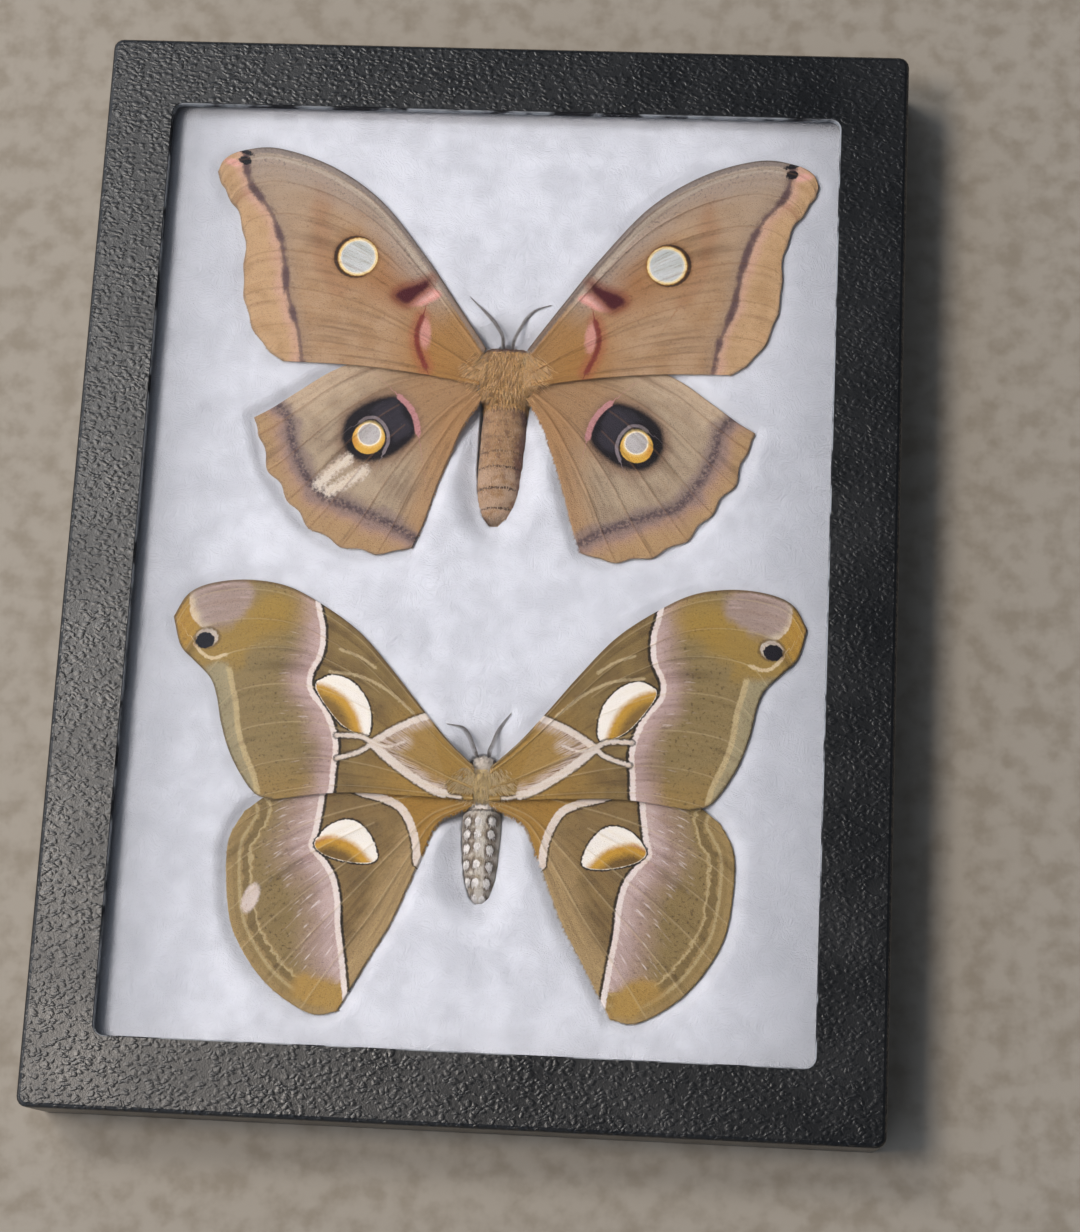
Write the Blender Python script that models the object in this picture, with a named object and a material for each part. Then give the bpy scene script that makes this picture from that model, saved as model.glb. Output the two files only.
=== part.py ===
"""A polyphemus moth spread in its shallow glazed display case, at life size.

The case lies flat with its glass up: +Z leaves the glass, +Y points past the moths' heads
and +X is to the viewer's right. The origin is the middle of the case's footprint, on the
table. All sizes below are millimetres. A cynthia moth shares the case as one plain solid.
"""

import math

import bmesh
import bpy
from mathutils import Vector

MM = 0.001
GAP = 0.3  # left between neighbours that touch in the real case

# The case: a lid of paper-covered board slides over a tray of the same board.
CASE_WIDTH = 159.0
CASE_LENGTH = 212.0
CASE_HEIGHT = 19.0
BOARD = 1.6
LID_LIFT = 0.5  # the lid's skirt ends this far above the table
LID_EDGE_RADIUS = 0.9
LID_CORNER_RADIUS = 2.0
WINDOW_WIDTH = 133.0
WINDOW_LENGTH = 185.0
WINDOW_RADIUS = 2.2
SKIRT_CLEARANCE = 0.4
GLASS_THICKNESS = 2.0
GLASS_TOP = CASE_HEIGHT - BOARD - GAP
GLASS_BOTTOM = GLASS_TOP - GLASS_THICKNESS
INNER_WIDTH = CASE_WIDTH - 2 * (BOARD + SKIRT_CLEARANCE)  # the tray and the pane
INNER_LENGTH = CASE_LENGTH - 2 * (BOARD + SKIRT_CLEARANCE)
TRAY_TOP = GLASS_BOTTOM - GAP

# Heights of the layers in the case. The hindwings lie under the forewings.
WING_THICKNESS = 0.5
VEIN_HEIGHT = 0.2
VEIN_HALF_WIDTH = 0.35
FOREWING_Z = GLASS_BOTTOM - GAP - VEIN_HEIGHT - WING_THICKNESS
HINDWING_Z = FOREWING_Z - GAP - VEIN_HEIGHT - WING_THICKNESS
PAD_TOP = HINDWING_Z - GAP
PAD_BOTTOM = BOARD + GAP
POCKET_FLOOR = 3.1
BODY_TOP = GLASS_BOTTOM - GAP - 0.1
BODY_Z = 9.7  # the middle of both bodies

# The polyphemus moth, measured out from its midline and forward from its thorax's middle.
MOTH_X = 2.8
MOTH_Y = 39.0
THORAX_HALF_WIDTH = 5.6
THORAX_HALF_LENGTH = 5.6
THORAX_HALF_HEIGHT = 5.6
THORAX_BOTTOM = 5.0
SECTION_POWER = 3.5  # a loaf-like cross-section
FRONT_POWER = 6.0  # a blunt front
REAR_POWER = 4.0  # a rounder back

FOREWING_FRONT = [(6.5, 8.8), (11.0, 15.3), (17.2, 24.0), (26.6, 35.2), (37.0, 42.3),
                  (48.0, 45.8), (55.0, 45.1), (58.6, 43.2)]
FOREWING_TIP = (59.8, 40.4)
FOREWING_OUTER = [(58.4, 36.6), (55.2, 31.6), (53.3, 25.0), (53.2, 18.0), (52.2, 12.2),
                  (50.3, 7.4), (47.4, 3.6)]
FOREWING_TORNUS = (43.9, 1.2)
FOREWING_REAR = [(12.0, -1.2), (20.5, 0.0), (31.0, 0.9)]
FOREWING_ROOT = (5.0, -2.5)  # how far forward the root starts and ends

HINDWING_FRONT = [(13.0, 3.5), (24.0, 3.8), (33.4, 0.2), (40.5, -4.6), (45.5, -8.2)]
HINDWING_TIP = (48.9, -10.2)
HINDWING_OUTER = [(47.4, -15.0), (46.0, -20.0), (42.2, -25.5), (38.0, -31.0), (33.0, -34.6),
                  (27.0, -36.6), (21.0, -36.9)]
HINDWING_TORNUS = (16.2, -35.3)
HINDWING_REAR = [(7.6, -10.0), (9.9, -16.0), (12.3, -23.0), (14.3, -30.0)]
HINDWING_ROOT = (0.8, -4.8)

ABDOMEN_START = -THORAX_HALF_LENGTH - GAP
SEGMENTS = 7
SEGMENT_LENGTH = 3.35
SEGMENT_STEP = 0.3
ABDOMEN_HALF_WIDTH = 4.85
ABDOMEN_TIP_LENGTH = 1.3
ABDOMEN_DRIFT = -0.7  # the abdomen leans to the left by its tip

NOTCH_BACK = 0.9  # the head hangs in a notch under the front of the thorax
NOTCH_TOP = 11.4
NOTCH_SLOPE = 1.6  # how far the notch's roof starts in front of its back
HEAD_CENTRE = (0.0, 3.2, 8.4)
HEAD_RADII = (2.6, 2.2, 2.3)
NECK_RADIUS = 1.5
PALP_LENGTH = 2.2
PALP_RADIUS = 0.55
PALP_STEPS = 7
PALP_RISE = 0.6
EYE_OFFSET = (2.35, 0.4, -0.2)
EYE_RADIUS = 1.1

ANTENNA_ROOT = (1.0, 5.2, 9.9)
ANTENNA_BEND = (1.0, 6.6, 12.2)
ANTENNA_Z = 13.7
ANTENNA_LEFT = [(-0.9, 7.4), (-1.6, 8.9), (-3.0, 10.9), (-5.0, 13.0), (-6.5, 14.4), (-7.9, 15.8)]
ANTENNA_RIGHT = [(1.5, 7.6), (2.5, 9.7), (3.7, 11.8), (5.2, 13.3), (6.8, 14.0), (8.5, 14.5)]
ANTENNA_HALF_WIDTH = 0.5
ANTENNA_WAIST = 0.6  # the share of the width left between two side branches
ANTENNA_BRANCH_SPACING = 0.75

LEG_Z = 4.05
LEG_RADIUS = 0.6
LEG_FOOT_RADIUS = 0.28
LEG_PATHS = {
    "leg_front": [(1.0, -0.6), (2.6, 1.4), (3.4, 3.2), (2.6, 5.4), (1.5, 7.4), (0.9, 9.2)],
    "leg_middle": [(2.9, -1.6), (4.4, -2.6), (5.2, -4.6), (4.9, -7.4), (4.4, -10.0), (4.0, -12.4)],
    "leg_hind": [(1.2, -2.8), (2.2, -4.8), (3.0, -7.2), (2.6, -10.4), (1.9, -13.4), (1.2, -16.2)],
}

# The cynthia moth, in the same terms. It is turned a little to the left.
CYNTHIA_X = 2.65
CYNTHIA_Y = -42.0
CYNTHIA_TURN = 0.9
CYNTHIA_ROOT_X = 1.5
CYNTHIA_FORE_FRONT = [(6.6, 8.0), (11.6, 13.8), (18.0, 21.6), (24.5, 28.7), (32.0, 34.0),
                      (39.0, 37.5), (46.5, 38.6), (53.5, 37.8), (58.0, 35.6)]
CYNTHIA_FORE_TIP = (60.6, 31.0)
CYNTHIA_FORE_OUTER = [(58.9, 25.4), (56.1, 22.5), (52.8, 19.2), (51.3, 15.6), (50.2, 10.6),
                      (48.4, 5.3), (45.8, 0.6), (42.8, -3.0)]
CYNTHIA_FORE_TORNUS = (39.5, -4.0)
CYNTHIA_FORE_REAR = [(14.0, -2.6), (27.0, -2.4)]
CYNTHIA_FORE_ROOT = (3.2, -3.2)
CYNTHIA_HIND_FRONT = [(14.0, 1.0), (28.0, 1.2), (39.0, -2.2)]
CYNTHIA_HIND_TIP = (44.8, -6.2)
CYNTHIA_HIND_OUTER = [(47.4, -11.4), (47.6, -18.0), (46.4, -26.5), (43.8, -32.2), (39.5, -37.8),
                      (34.5, -41.7), (29.6, -43.9)]
CYNTHIA_HIND_TORNUS = (25.4, -43.2)
CYNTHIA_HIND_REAR = [(8.0, -7.3), (10.9, -13.5), (13.6, -20.2), (16.2, -26.5), (19.4, -32.2)]
CYNTHIA_HIND_ROOT = (0.0, -4.0)
CYNTHIA_BODY = [(5.2, 0.6), (4.6, 1.7), (3.4, 2.3), (2.5, 2.2), (1.8, 3.0), (0.0, 4.1), (-3.0, 4.2),
                (-4.6, 3.6), (-5.2, 3.4), (-8.0, 3.7), (-12.0, 3.6), (-16.0, 3.1), (-19.5, 2.4),
                (-21.5, 1.6), (-22.4, 0.5)]
CYNTHIA_BODY_HEIGHT = 1.15  # height over width
CYNTHIA_ANTENNAE = [[(-1.4, 4.2), (-1.8, 6.2), (-2.5, 9.2), (-3.8, 10.8), (-5.6, 11.2), (-7.3, 11.4)],
                    [(0.9, 4.2), (1.4, 6.2), (2.4, 10.2), (3.6, 12.0), (5.1, 13.8)]]
CYNTHIA_ANTENNA_RADIUS = 0.32

# Where the main veins meet the outer margin, as shares from the wing's tip to its tornus,
# and how far out along the wing each one starts.
FOREWING_VEINS = [(0.04, 0.0), (0.16, 0.0), (0.31, 0.42), (0.47, 0.45), (0.63, 0.0), (0.79, 0.3),
                  (0.94, 0.0)]
HINDWING_VEINS = [(0.08, 0.0), (0.24, 0.0), (0.39, 0.4), (0.54, 0.42), (0.70, 0.0), (0.85, 0.0)]
PLAIN_VEINS = [(0.16, 0.0), (0.47, 0.4), (0.63, 0.0), (0.94, 0.0)]
WING_ROWS = 12

BLACK_PAPER = (0.018, 0.018, 0.02)
PANE = (0.75, 0.85, 0.82)
COTTON = (0.72, 0.75, 0.78)
BUFF_SCALES = (0.45, 0.30, 0.17)
TAN_FUR = (0.40, 0.24, 0.10)
PINK_TAN_FUR = (0.43, 0.28, 0.19)
BROWN_CUTICLE = (0.10, 0.06, 0.04)
EYE_BLACK = (0.02, 0.015, 0.012)
OLIVE_SCALES = (0.25, 0.18, 0.07)


def clear_scene():
    """Empties the scene that the script starts in."""
    for thing in list(bpy.data.objects):
        bpy.data.objects.remove(thing, do_unlink=True)


def make_material(name, colour, roughness, alpha=1.0):
    """A plain surface of one colour."""
    material = bpy.data.materials.new(name)
    material.use_nodes = True
    shader = material.node_tree.nodes["Principled BSDF"]
    shader.inputs["Base Color"].default_value = (*colour, 1.0)
    shader.inputs["Roughness"].default_value = roughness
    shader.inputs["Metallic"].default_value = 0.0
    shader.inputs["Alpha"].default_value = alpha
    return material


def make_object(name, points, faces, material=None):
    """A mesh object from points in millimetres, with its faces turned outward."""
    mesh = bpy.data.meshes.new(name)
    mesh.from_pydata([(x * MM, y * MM, z * MM) for x, y, z in points], [], faces)
    shape = bmesh.new()
    shape.from_mesh(mesh)
    bmesh.ops.recalc_face_normals(shape, faces=shape.faces)
    shape.to_mesh(mesh)
    shape.free()
    mesh.shade_smooth()
    mesh.set_sharp_from_angle(angle=math.radians(35))
    if material:
        mesh.materials.append(material)
    thing = bpy.data.objects.new(name, mesh)
    bpy.context.scene.collection.objects.link(thing)
    return thing


def mix(a, b, share):
    """The value this share of the way from a to b."""
    return a + (b - a) * share


def smoothstep(start, end, value):
    """Eases from 0 at start to 1 at end."""
    share = min(max((value - start) / (end - start), 0.0), 1.0)
    return share * share * (3.0 - 2.0 * share)


def smooth_path(points, count):
    """Evenly spaced points on a smooth curve through the ones given (a Catmull-Rom spline)."""
    knots = [Vector(p) for p in points]
    knots = [2 * knots[0] - knots[1]] + knots + [2 * knots[-1] - knots[-2]]
    fine = []
    for a, b, c, d in zip(knots, knots[1:], knots[2:], knots[3:]):
        for step in range(12):
            t = step / 12
            fine.append(0.5 * ((2 * b) + (c - a) * t + (2 * a - 5 * b + 4 * c - d) * t ** 2
                               + (3 * b - a - 3 * c + d) * t ** 3))
    fine.append(knots[-2])
    walked = [0.0]
    for before, after in zip(fine, fine[1:]):
        walked.append(walked[-1] + (after - before).length)
    even = []
    place = 0
    for i in range(count):
        target = walked[-1] * i / (count - 1)
        while place < len(walked) - 2 and walked[place + 1] < target:
            place += 1
        step = walked[place + 1] - walked[place]
        even.append(fine[place].lerp(fine[place + 1], (target - walked[place]) / step))
    return even


def join_rings(rings, closed=False):
    """Faces between rings of equal point counts, capped at both ends unless the rings close up."""
    count = len(rings[0])
    points = [point for ring in rings for point in ring]
    faces = []
    pairs = list(zip(range(len(rings)), range(1, len(rings))))
    if closed:
        pairs.append((len(rings) - 1, 0))
    for low, high in pairs:
        for i in range(count):
            j = (i + 1) % count
            faces.append((low * count + i, low * count + j, high * count + j, high * count + i))
    if not closed:
        faces.append(tuple(reversed(range(count))))
        faces.append(tuple(range((len(rings) - 1) * count, len(rings) * count)))
    return points, faces


def rounded_rectangle(width, length, radius, z, corner_steps=4):
    """A ring of points round a rectangle with rounded corners, at height z."""
    ring = []
    for corner in range(4):
        across = 1 if corner in (0, 3) else -1
        along = 1 if corner in (0, 1) else -1
        for step in range(corner_steps + 1):
            angle = math.radians(90 * corner + 90 * step / corner_steps)
            ring.append((across * (width / 2 - radius) + radius * math.cos(angle),
                         along * (length / 2 - radius) + radius * math.sin(angle), z))
    return ring


def superellipse(half_width, half_length, power, z, centre=(0.0, 0.0), count=28):
    """A ring of points round a rounded oblong, at height z."""
    ring = []
    for i in range(count):
        angle = 2 * math.pi * i / count
        c, s = math.cos(angle), math.sin(angle)
        ring.append((centre[0] + half_width * math.copysign(abs(c) ** (2 / power), c),
                     centre[1] + half_length * math.copysign(abs(s) ** (2 / power), s), z))
    return ring


def apply_modifiers(thing):
    """Turns an object's modifiers into its own mesh."""
    bpy.context.view_layer.update()
    graph = bpy.context.evaluated_depsgraph_get()
    mesh = bpy.data.meshes.new_from_object(thing.evaluated_get(graph), depsgraph=graph)
    thing.modifiers.clear()
    thing.data = mesh


def keep_largest_surface(thing):
    """Removes any loose scrap and any sealed hollow that a union leaves."""
    shape = bmesh.new()
    shape.from_mesh(thing.data)
    bmesh.ops.remove_doubles(shape, verts=shape.verts, dist=0.002 * MM)
    shape.faces.ensure_lookup_table()
    unseen = set(shape.faces)
    surfaces = []
    while unseen:
        surface = {unseen.pop()}
        edge_of = list(surface)
        while edge_of:
            for edge in edge_of.pop().edges:
                for face in edge.link_faces:
                    if face in unseen:
                        unseen.remove(face)
                        surface.add(face)
                        edge_of.append(face)
        surfaces.append(surface)
    surfaces.sort(key=lambda surface: sum(face.calc_area() for face in surface))
    for surface in surfaces[:-1]:
        bmesh.ops.delete(shape, geom=list(surface), context="FACES")
    shape.to_mesh(thing.data)
    shape.free()


def combine(thing, others, operation):
    """Joins or cuts an object with others in one Boolean, and removes the others."""
    group = bpy.data.collections.new(thing.name + "_" + operation.lower())
    for other in others:
        group.objects.link(other)
    boolean = thing.modifiers.new(operation.lower(), "BOOLEAN")
    boolean.operation = operation
    boolean.solver = "EXACT"
    boolean.operand_type = "COLLECTION"
    boolean.collection = group
    apply_modifiers(thing)
    for other in others:
        bpy.data.objects.remove(other, do_unlink=True)
    bpy.data.collections.remove(group)
    keep_largest_surface(thing)
    thing.data.shade_smooth()
    thing.data.set_sharp_from_angle(angle=math.radians(35))
    return thing


def make_lid(material):
    """The lid: a frame of covered board with a rounded window, and a skirt round the tray."""
    r = LID_EDGE_RADIUS
    rings = [rounded_rectangle(CASE_WIDTH, CASE_LENGTH, LID_CORNER_RADIUS, LID_LIFT)]
    for step in range(4):
        angle = math.radians(30 * step)
        inset = 2 * r * (1 - math.cos(angle))
        rings.append(rounded_rectangle(CASE_WIDTH - inset, CASE_LENGTH - inset, LID_CORNER_RADIUS - inset / 2,
                                       CASE_HEIGHT - r + r * math.sin(angle)))
    rings.append(rounded_rectangle(WINDOW_WIDTH, WINDOW_LENGTH, WINDOW_RADIUS, CASE_HEIGHT))
    rings.append(rounded_rectangle(WINDOW_WIDTH, WINDOW_LENGTH, WINDOW_RADIUS, CASE_HEIGHT - BOARD))
    inner = (CASE_WIDTH - 2 * BOARD, CASE_LENGTH - 2 * BOARD, LID_CORNER_RADIUS - BOARD / 2)
    rings.append(rounded_rectangle(*inner, CASE_HEIGHT - BOARD))
    rings.append(rounded_rectangle(*inner, LID_LIFT))
    return make_object("case_lid", *join_rings(rings, closed=True), material)


def make_tray(material):
    """The tray: a flat board floor with four walls that carry the pane."""
    floor_bevel = 0.4
    rings = [rounded_rectangle(INNER_WIDTH - 2 * floor_bevel, INNER_LENGTH - 2 * floor_bevel, 1.0, 0.0),
             rounded_rectangle(INNER_WIDTH, INNER_LENGTH, 1.2, floor_bevel),
             rounded_rectangle(INNER_WIDTH, INNER_LENGTH, 1.2, TRAY_TOP),
             rounded_rectangle(INNER_WIDTH - 2 * BOARD, INNER_LENGTH - 2 * BOARD, 0.8, TRAY_TOP),
             rounded_rectangle(INNER_WIDTH - 2 * BOARD, INNER_LENGTH - 2 * BOARD, 0.8, BOARD)]
    return make_object("case_tray", *join_rings(rings), material)


def make_glass(material):
    """The pane that lies on the tray's walls under the lid's frame."""
    rings = [rounded_rectangle(INNER_WIDTH, INNER_LENGTH, 0.6, GLASS_BOTTOM, 2),
             rounded_rectangle(INNER_WIDTH, INNER_LENGTH, 0.6, GLASS_TOP, 2)]
    return make_object("case_glass", *join_rings(rings), material)


def make_batting(material):
    """The cotton pad, hollowed where the thick bodies press into it."""
    width = INNER_WIDTH - 2 * (BOARD + GAP)
    length = INNER_LENGTH - 2 * (BOARD + GAP)
    shoulder = 0.8
    rings = [rounded_rectangle(width, length, 1.5, PAD_BOTTOM),
             rounded_rectangle(width, length, 1.5, PAD_TOP - shoulder),
             rounded_rectangle(width - shoulder, length - shoulder, 1.5, PAD_TOP - shoulder / 4),
             rounded_rectangle(width - 3 * shoulder, length - 3 * shoulder, 1.5, PAD_TOP)]
    pad = make_object("batting", *join_rings(rings), material)
    hollows = [((MOTH_X, MOTH_Y), 7.3, 10.6, 4.0),
               ((MOTH_X - 0.3, MOTH_Y - 18.4), 6.5, 14.6, 3.6),
               ((CYNTHIA_X, CYNTHIA_Y - 8.6), 5.6, 15.2, 2.6)]
    cutters = []
    for centre, half_width, half_length, power in hollows:
        rings = [superellipse(half_width - 1.0, half_length - 1.0, power, POCKET_FLOOR, centre),
                 superellipse(half_width, half_length, power, POCKET_FLOOR + 1.2, centre),
                 superellipse(half_width, half_length, power, PAD_TOP + 2.0, centre)]
        cutters.append(make_object("hollow", *join_rings(rings)))
    return combine(pad, cutters, "DIFFERENCE")


def thorax_plan(forward):
    """The thorax's size at a place along it, as a share of its full size."""
    power = FRONT_POWER if forward > 0 else REAR_POWER
    return max(1.0 - abs(forward / THORAX_HALF_LENGTH) ** power, 0.0) ** (1 / power)


def thorax_reach(forward, z):
    """How far the thorax's side stands out from the midline, this far forward and at height z."""
    plan = thorax_plan(forward)
    room = plan ** SECTION_POWER - abs((z - BODY_Z) / THORAX_HALF_HEIGHT) ** SECTION_POWER
    return THORAX_HALF_WIDTH * max(room, 0.0) ** (1 / SECTION_POWER)


def make_thorax(material):
    """The thorax: a loaf pressed flat under the glass, with a notch below for the head."""
    rings = []
    for step in range(13):
        forward = -THORAX_HALF_LENGTH * 0.999 * math.cos(math.pi * step / 12)
        plan = thorax_plan(forward)
        ring = []
        for x, z, _ in superellipse(THORAX_HALF_WIDTH * plan, THORAX_HALF_HEIGHT * plan, SECTION_POWER, 0.0,
                                    count=24):
            height = min(max(BODY_Z + z, THORAX_BOTTOM), BODY_TOP)
            ring.append((MOTH_X + x, MOTH_Y + forward, height))
        rings.append(ring)
    thorax = make_object("thorax", *join_rings(rings), material)
    notch_rings = []
    notch_heights = [(THORAX_BOTTOM - 1.0, 0.0), (NOTCH_TOP - 2.0, 0.0), (NOTCH_TOP - 0.6, 0.25), (NOTCH_TOP, 1.0)]
    for z, rise in notch_heights:
        ring = rounded_rectangle(3 * THORAX_HALF_WIDTH, 2 * THORAX_HALF_LENGTH, 0.5, z)
        middle = MOTH_Y + NOTCH_BACK + THORAX_HALF_LENGTH + NOTCH_SLOPE * rise
        notch_rings.append([(MOTH_X + x, middle + y, z) for x, y, z in ring])
    return combine(thorax, [make_object("notch", *join_rings(notch_rings))], "DIFFERENCE")


def abdomen_taper(along):
    """The abdomen's half-width at a share of its length, in millimetres."""
    narrowing = smoothstep(0.6, 1.08, along)
    return ABDOMEN_HALF_WIDTH * (0.93 + 0.07 * smoothstep(0.0, 0.2, along)) * (1.0 - 0.58 * narrowing ** 1.3)


def make_abdomen(material):
    """The abdomen: seven rings, each ending in a low step over the next."""
    total = SEGMENTS * SEGMENT_LENGTH
    rings = []

    def add_ring(back, radius):
        lean = ABDOMEN_DRIFT * (back / total) ** 1.5
        ring = superellipse(radius, radius * 0.94, 2.3, 0.0, count=16)
        rings.append([(MOTH_X + lean + x, MOTH_Y + ABDOMEN_START - back, BODY_Z - 0.3 + z) for x, z, _ in ring])

    for segment in range(SEGMENTS):
        for share, step in ((0.02, SEGMENT_STEP), (0.35, 0.08), (0.96, 0.0)):
            along = (segment + share) / SEGMENTS
            add_ring(along * total, abdomen_taper(along) - step)
    end = abdomen_taper(1.0)
    for share in (0.4, 0.8, 1.0):
        add_ring(total + ABDOMEN_TIP_LENGTH * share, end * math.sqrt(max(1.0 - share ** 2, 0.04)))
    return make_object("abdomen", *join_rings(rings), material)


def make_ball(name, centre, radii, material=None, rings=10, count=16):
    """An ellipsoid with its poles at the top and bottom."""
    stack = []
    for i in range(rings):
        angle = math.pi * (i + 0.35) / (rings - 0.3) - math.pi / 2
        shrink = math.cos(angle)
        stack.append([(centre[0] + radii[0] * shrink * math.cos(2 * math.pi * k / count),
                       centre[1] + radii[1] * shrink * math.sin(2 * math.pi * k / count),
                       centre[2] + radii[2] * math.sin(angle)) for k in range(count)])
    return make_object(name, *join_rings(stack), material)


def make_tube(name, path, radii, material=None, sides=8):
    """A tube along a path of points, with a half-width and a half-height at each one."""
    rings = []
    for i, point in enumerate(path):
        ahead = path[min(i + 1, len(path) - 1)] - path[max(i - 1, 0)]
        ahead.normalize()
        across = ahead.cross(Vector((0, 0, 1))).normalized()
        up = across.cross(ahead)
        wide, high = radii[i]
        ring = []
        for k in range(sides):
            angle = 2 * math.pi * (k + 0.5) / sides
            ring.append(tuple(point + across * wide * math.cos(angle) + up * high * math.sin(angle)))
        rings.append(ring)
    return make_object(name, *join_rings(rings), material)


def make_head(material):
    """The small head that hangs under the front of the thorax, with two palps and sockets for the eyes."""
    centre = (MOTH_X + HEAD_CENTRE[0], MOTH_Y + HEAD_CENTRE[1], HEAD_CENTRE[2])
    head = make_ball("head", centre, HEAD_RADII, material)
    neck_path = [Vector((centre[0], MOTH_Y + NOTCH_BACK + GAP, centre[2])), Vector(centre)]
    joined = [make_tube("neck", neck_path, [(NECK_RADIUS, NECK_RADIUS)] * 2, sides=12)]
    for side in (-1, 1):
        root = Vector((centre[0] + side * 0.75, centre[1] + 0.8, centre[2] - 1.2))
        palp = []
        radii = []
        for step in range(PALP_STEPS + 1):
            share = step / PALP_STEPS
            rise = PALP_RISE * (share ** 2 - share)
            palp.append(root + Vector((0, share, rise)) * PALP_LENGTH)
            thick = PALP_RADIUS * math.sqrt(max(1.0 - (2.0 * share - 0.9) ** 2 / 1.3, 0.02))
            radii.append((thick, thick * 1.1))
        joined.append(make_tube("palp", palp, radii, sides=10))
    combine(head, joined, "UNION")
    sockets = []
    for side in (-1, 1):
        sockets.append(make_ball("socket", eye_centre(side), (EYE_RADIUS + GAP,) * 3))
    return combine(head, sockets, "DIFFERENCE")


def eye_centre(side):
    """The middle of the left (-1) or right (1) eye."""
    return (MOTH_X + HEAD_CENTRE[0] + side * EYE_OFFSET[0], MOTH_Y + HEAD_CENTRE[1] + EYE_OFFSET[1],
            HEAD_CENTRE[2] + EYE_OFFSET[2])


def make_antenna(name, side, path, material):
    """A narrow comb-like feeler: its outline steps in and out at each pair of side branches."""
    start = (MOTH_X + side * ANTENNA_ROOT[0], MOTH_Y + ANTENNA_ROOT[1], ANTENNA_ROOT[2])
    bend = (MOTH_X + side * ANTENNA_BEND[0], MOTH_Y + ANTENNA_BEND[1], ANTENNA_BEND[2])
    route = [start, bend] + [(MOTH_X + x, MOTH_Y + y, ANTENNA_Z) for x, y in path]
    length = sum((Vector(b) - Vector(a)).length for a, b in zip(route, route[1:]))
    count = 2 * round(length / ANTENNA_BRANCH_SPACING) + 1
    radii = []
    for i in range(count):
        share = i / (count - 1)
        swell = math.sin(math.pi * min(max(share * 0.86 + 0.12, 0.0), 1.0)) ** 0.6
        wide = ANTENNA_HALF_WIDTH * mix(0.45, 1.0, swell) * (ANTENNA_WAIST if i % 2 else 1.0)
        radii.append((wide, 0.26 if share < 0.97 else 0.14))
    return make_tube(name, smooth_path(route, count), radii, material)


def make_leg(name, side, path, material):
    """A folded leg lying under the body: thigh, shin and a thin foot."""
    route = [(MOTH_X + side * x, MOTH_Y + y, LEG_Z) for x, y in path]
    count = 15
    radii = []
    for i in range(count):
        share = i / (count - 1)
        knee = 0.08 * math.cos(2 * math.pi * share * 3)
        radius = mix(LEG_RADIUS, LEG_FOOT_RADIUS, smoothstep(0.25, 0.75, share)) - knee * (1 - share)
        radii.append((radius, min(radius, LEG_RADIUS)))
    return make_tube(name, smooth_path(route, count), radii, material)


def patch_point(edges, u, v):
    """A point of the wing, a share u out from its root and v back from its front edge."""
    front, outer, rear, root = edges

    def on(curve, share):
        place = share * (len(curve) - 1)
        low = min(int(place), len(curve) - 2)
        return curve[low].lerp(curve[low + 1], place - low)

    ruled = on(front, u) * (1 - v) + on(rear, u) * v + on(root, v) * (1 - u) + on(outer, v) * u
    corners = (root[0] * (1 - u) + outer[0] * u) * (1 - v) + (root[-1] * (1 - u) + outer[-1] * u) * v
    return ruled - corners


def wing_edges(front, tip, outer, tornus, rear, root):
    """The wing's four margins as smooth curves: front, outer, rear and root."""
    root_curve = [Vector(p) for p in root]
    return (smooth_path([root[0]] + front + [tip], 60), smooth_path([tip] + outer + [tornus], 60),
            smooth_path([root[-1]] + rear + [tornus], 60), root_curve)


def wing_mesh(edges, veins, rows, low_z, place):
    """Points and faces of a wing whose main veins are ridges raised in its upper surface."""
    grid = []
    for row in range(rows + 1):
        u = row / rows
        width = (patch_point(edges, u, 1.0) - patch_point(edges, u, 0.0)).length
        shares = [(0.0, 0.0)]
        last = 0.0
        for share, start in veins:
            side = VEIN_HALF_WIDTH / width
            height = VEIN_HEIGHT * smoothstep(start - 0.02, start + 0.1, u) if start else VEIN_HEIGHT
            if share - last > 0.1:
                shares.append(((share + last) / 2, 0.0))
            shares += [(share - side, 0.0), (share, height), (share + side, 0.0)]
            last = share
        if last < 0.9:
            shares.append(((1.0 + last) / 2, 0.0))
        shares.append((1.0, 0.0))
        shares = [(min(max(share, 0.001 * k), 1.0 - 0.001 * (len(shares) - 1 - k)), height)
                  for k, (share, height) in enumerate(shares)]
        line = []
        for share, height in shares:
            point = place(patch_point(edges, u, share))
            line.append((point[0], point[1], low_z + WING_THICKNESS + height))
        grid.append(line)
    columns = len(grid[0])
    top = [point for line in grid for point in line]
    points = top + [(x, y, low_z) for x, y, z in top]
    under = len(top)
    faces = []
    for row in range(rows):
        for column in range(columns - 1):
            a = row * columns + column
            b, c, d = a + 1, a + columns + 1, a + columns
            faces += [(a, b, c), (a, c, d)]
            faces += [(under + a, under + c, under + b), (under + a, under + d, under + c)]
    rim = [column for column in range(columns)]
    rim += [row * columns + columns - 1 for row in range(1, rows + 1)]
    rim += [rows * columns + column for column in range(columns - 2, -1, -1)]
    rim += [row * columns for row in range(rows - 1, 0, -1)]
    for a, b in zip(rim, rim[1:] + rim[:1]):
        faces += [(a, under + a, under + b), (a, under + b, b)]
    return points, faces


def moth_root(root, low_z):
    """The root edge of a wing, held a gap clear of the thorax's side."""
    line = []
    for step in range(6):
        forward = mix(root[0], root[1], step / 5)
        line.append((thorax_reach(forward, low_z) + GAP, forward))
    return line


def make_moth_wing(name, side, margins, root, veins, low_z, material):
    """One of the polyphemus moth's wings, on the left (-1) or right (1)."""
    front, tip, outer, tornus, rear = margins
    edges = wing_edges(front, tip, outer, tornus, rear, moth_root(root, low_z))

    def place(point):
        return MOTH_X + side * point[0], MOTH_Y + point[1]

    return make_object(name, *wing_mesh(edges, veins, WING_ROWS, low_z, place), material)


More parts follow.
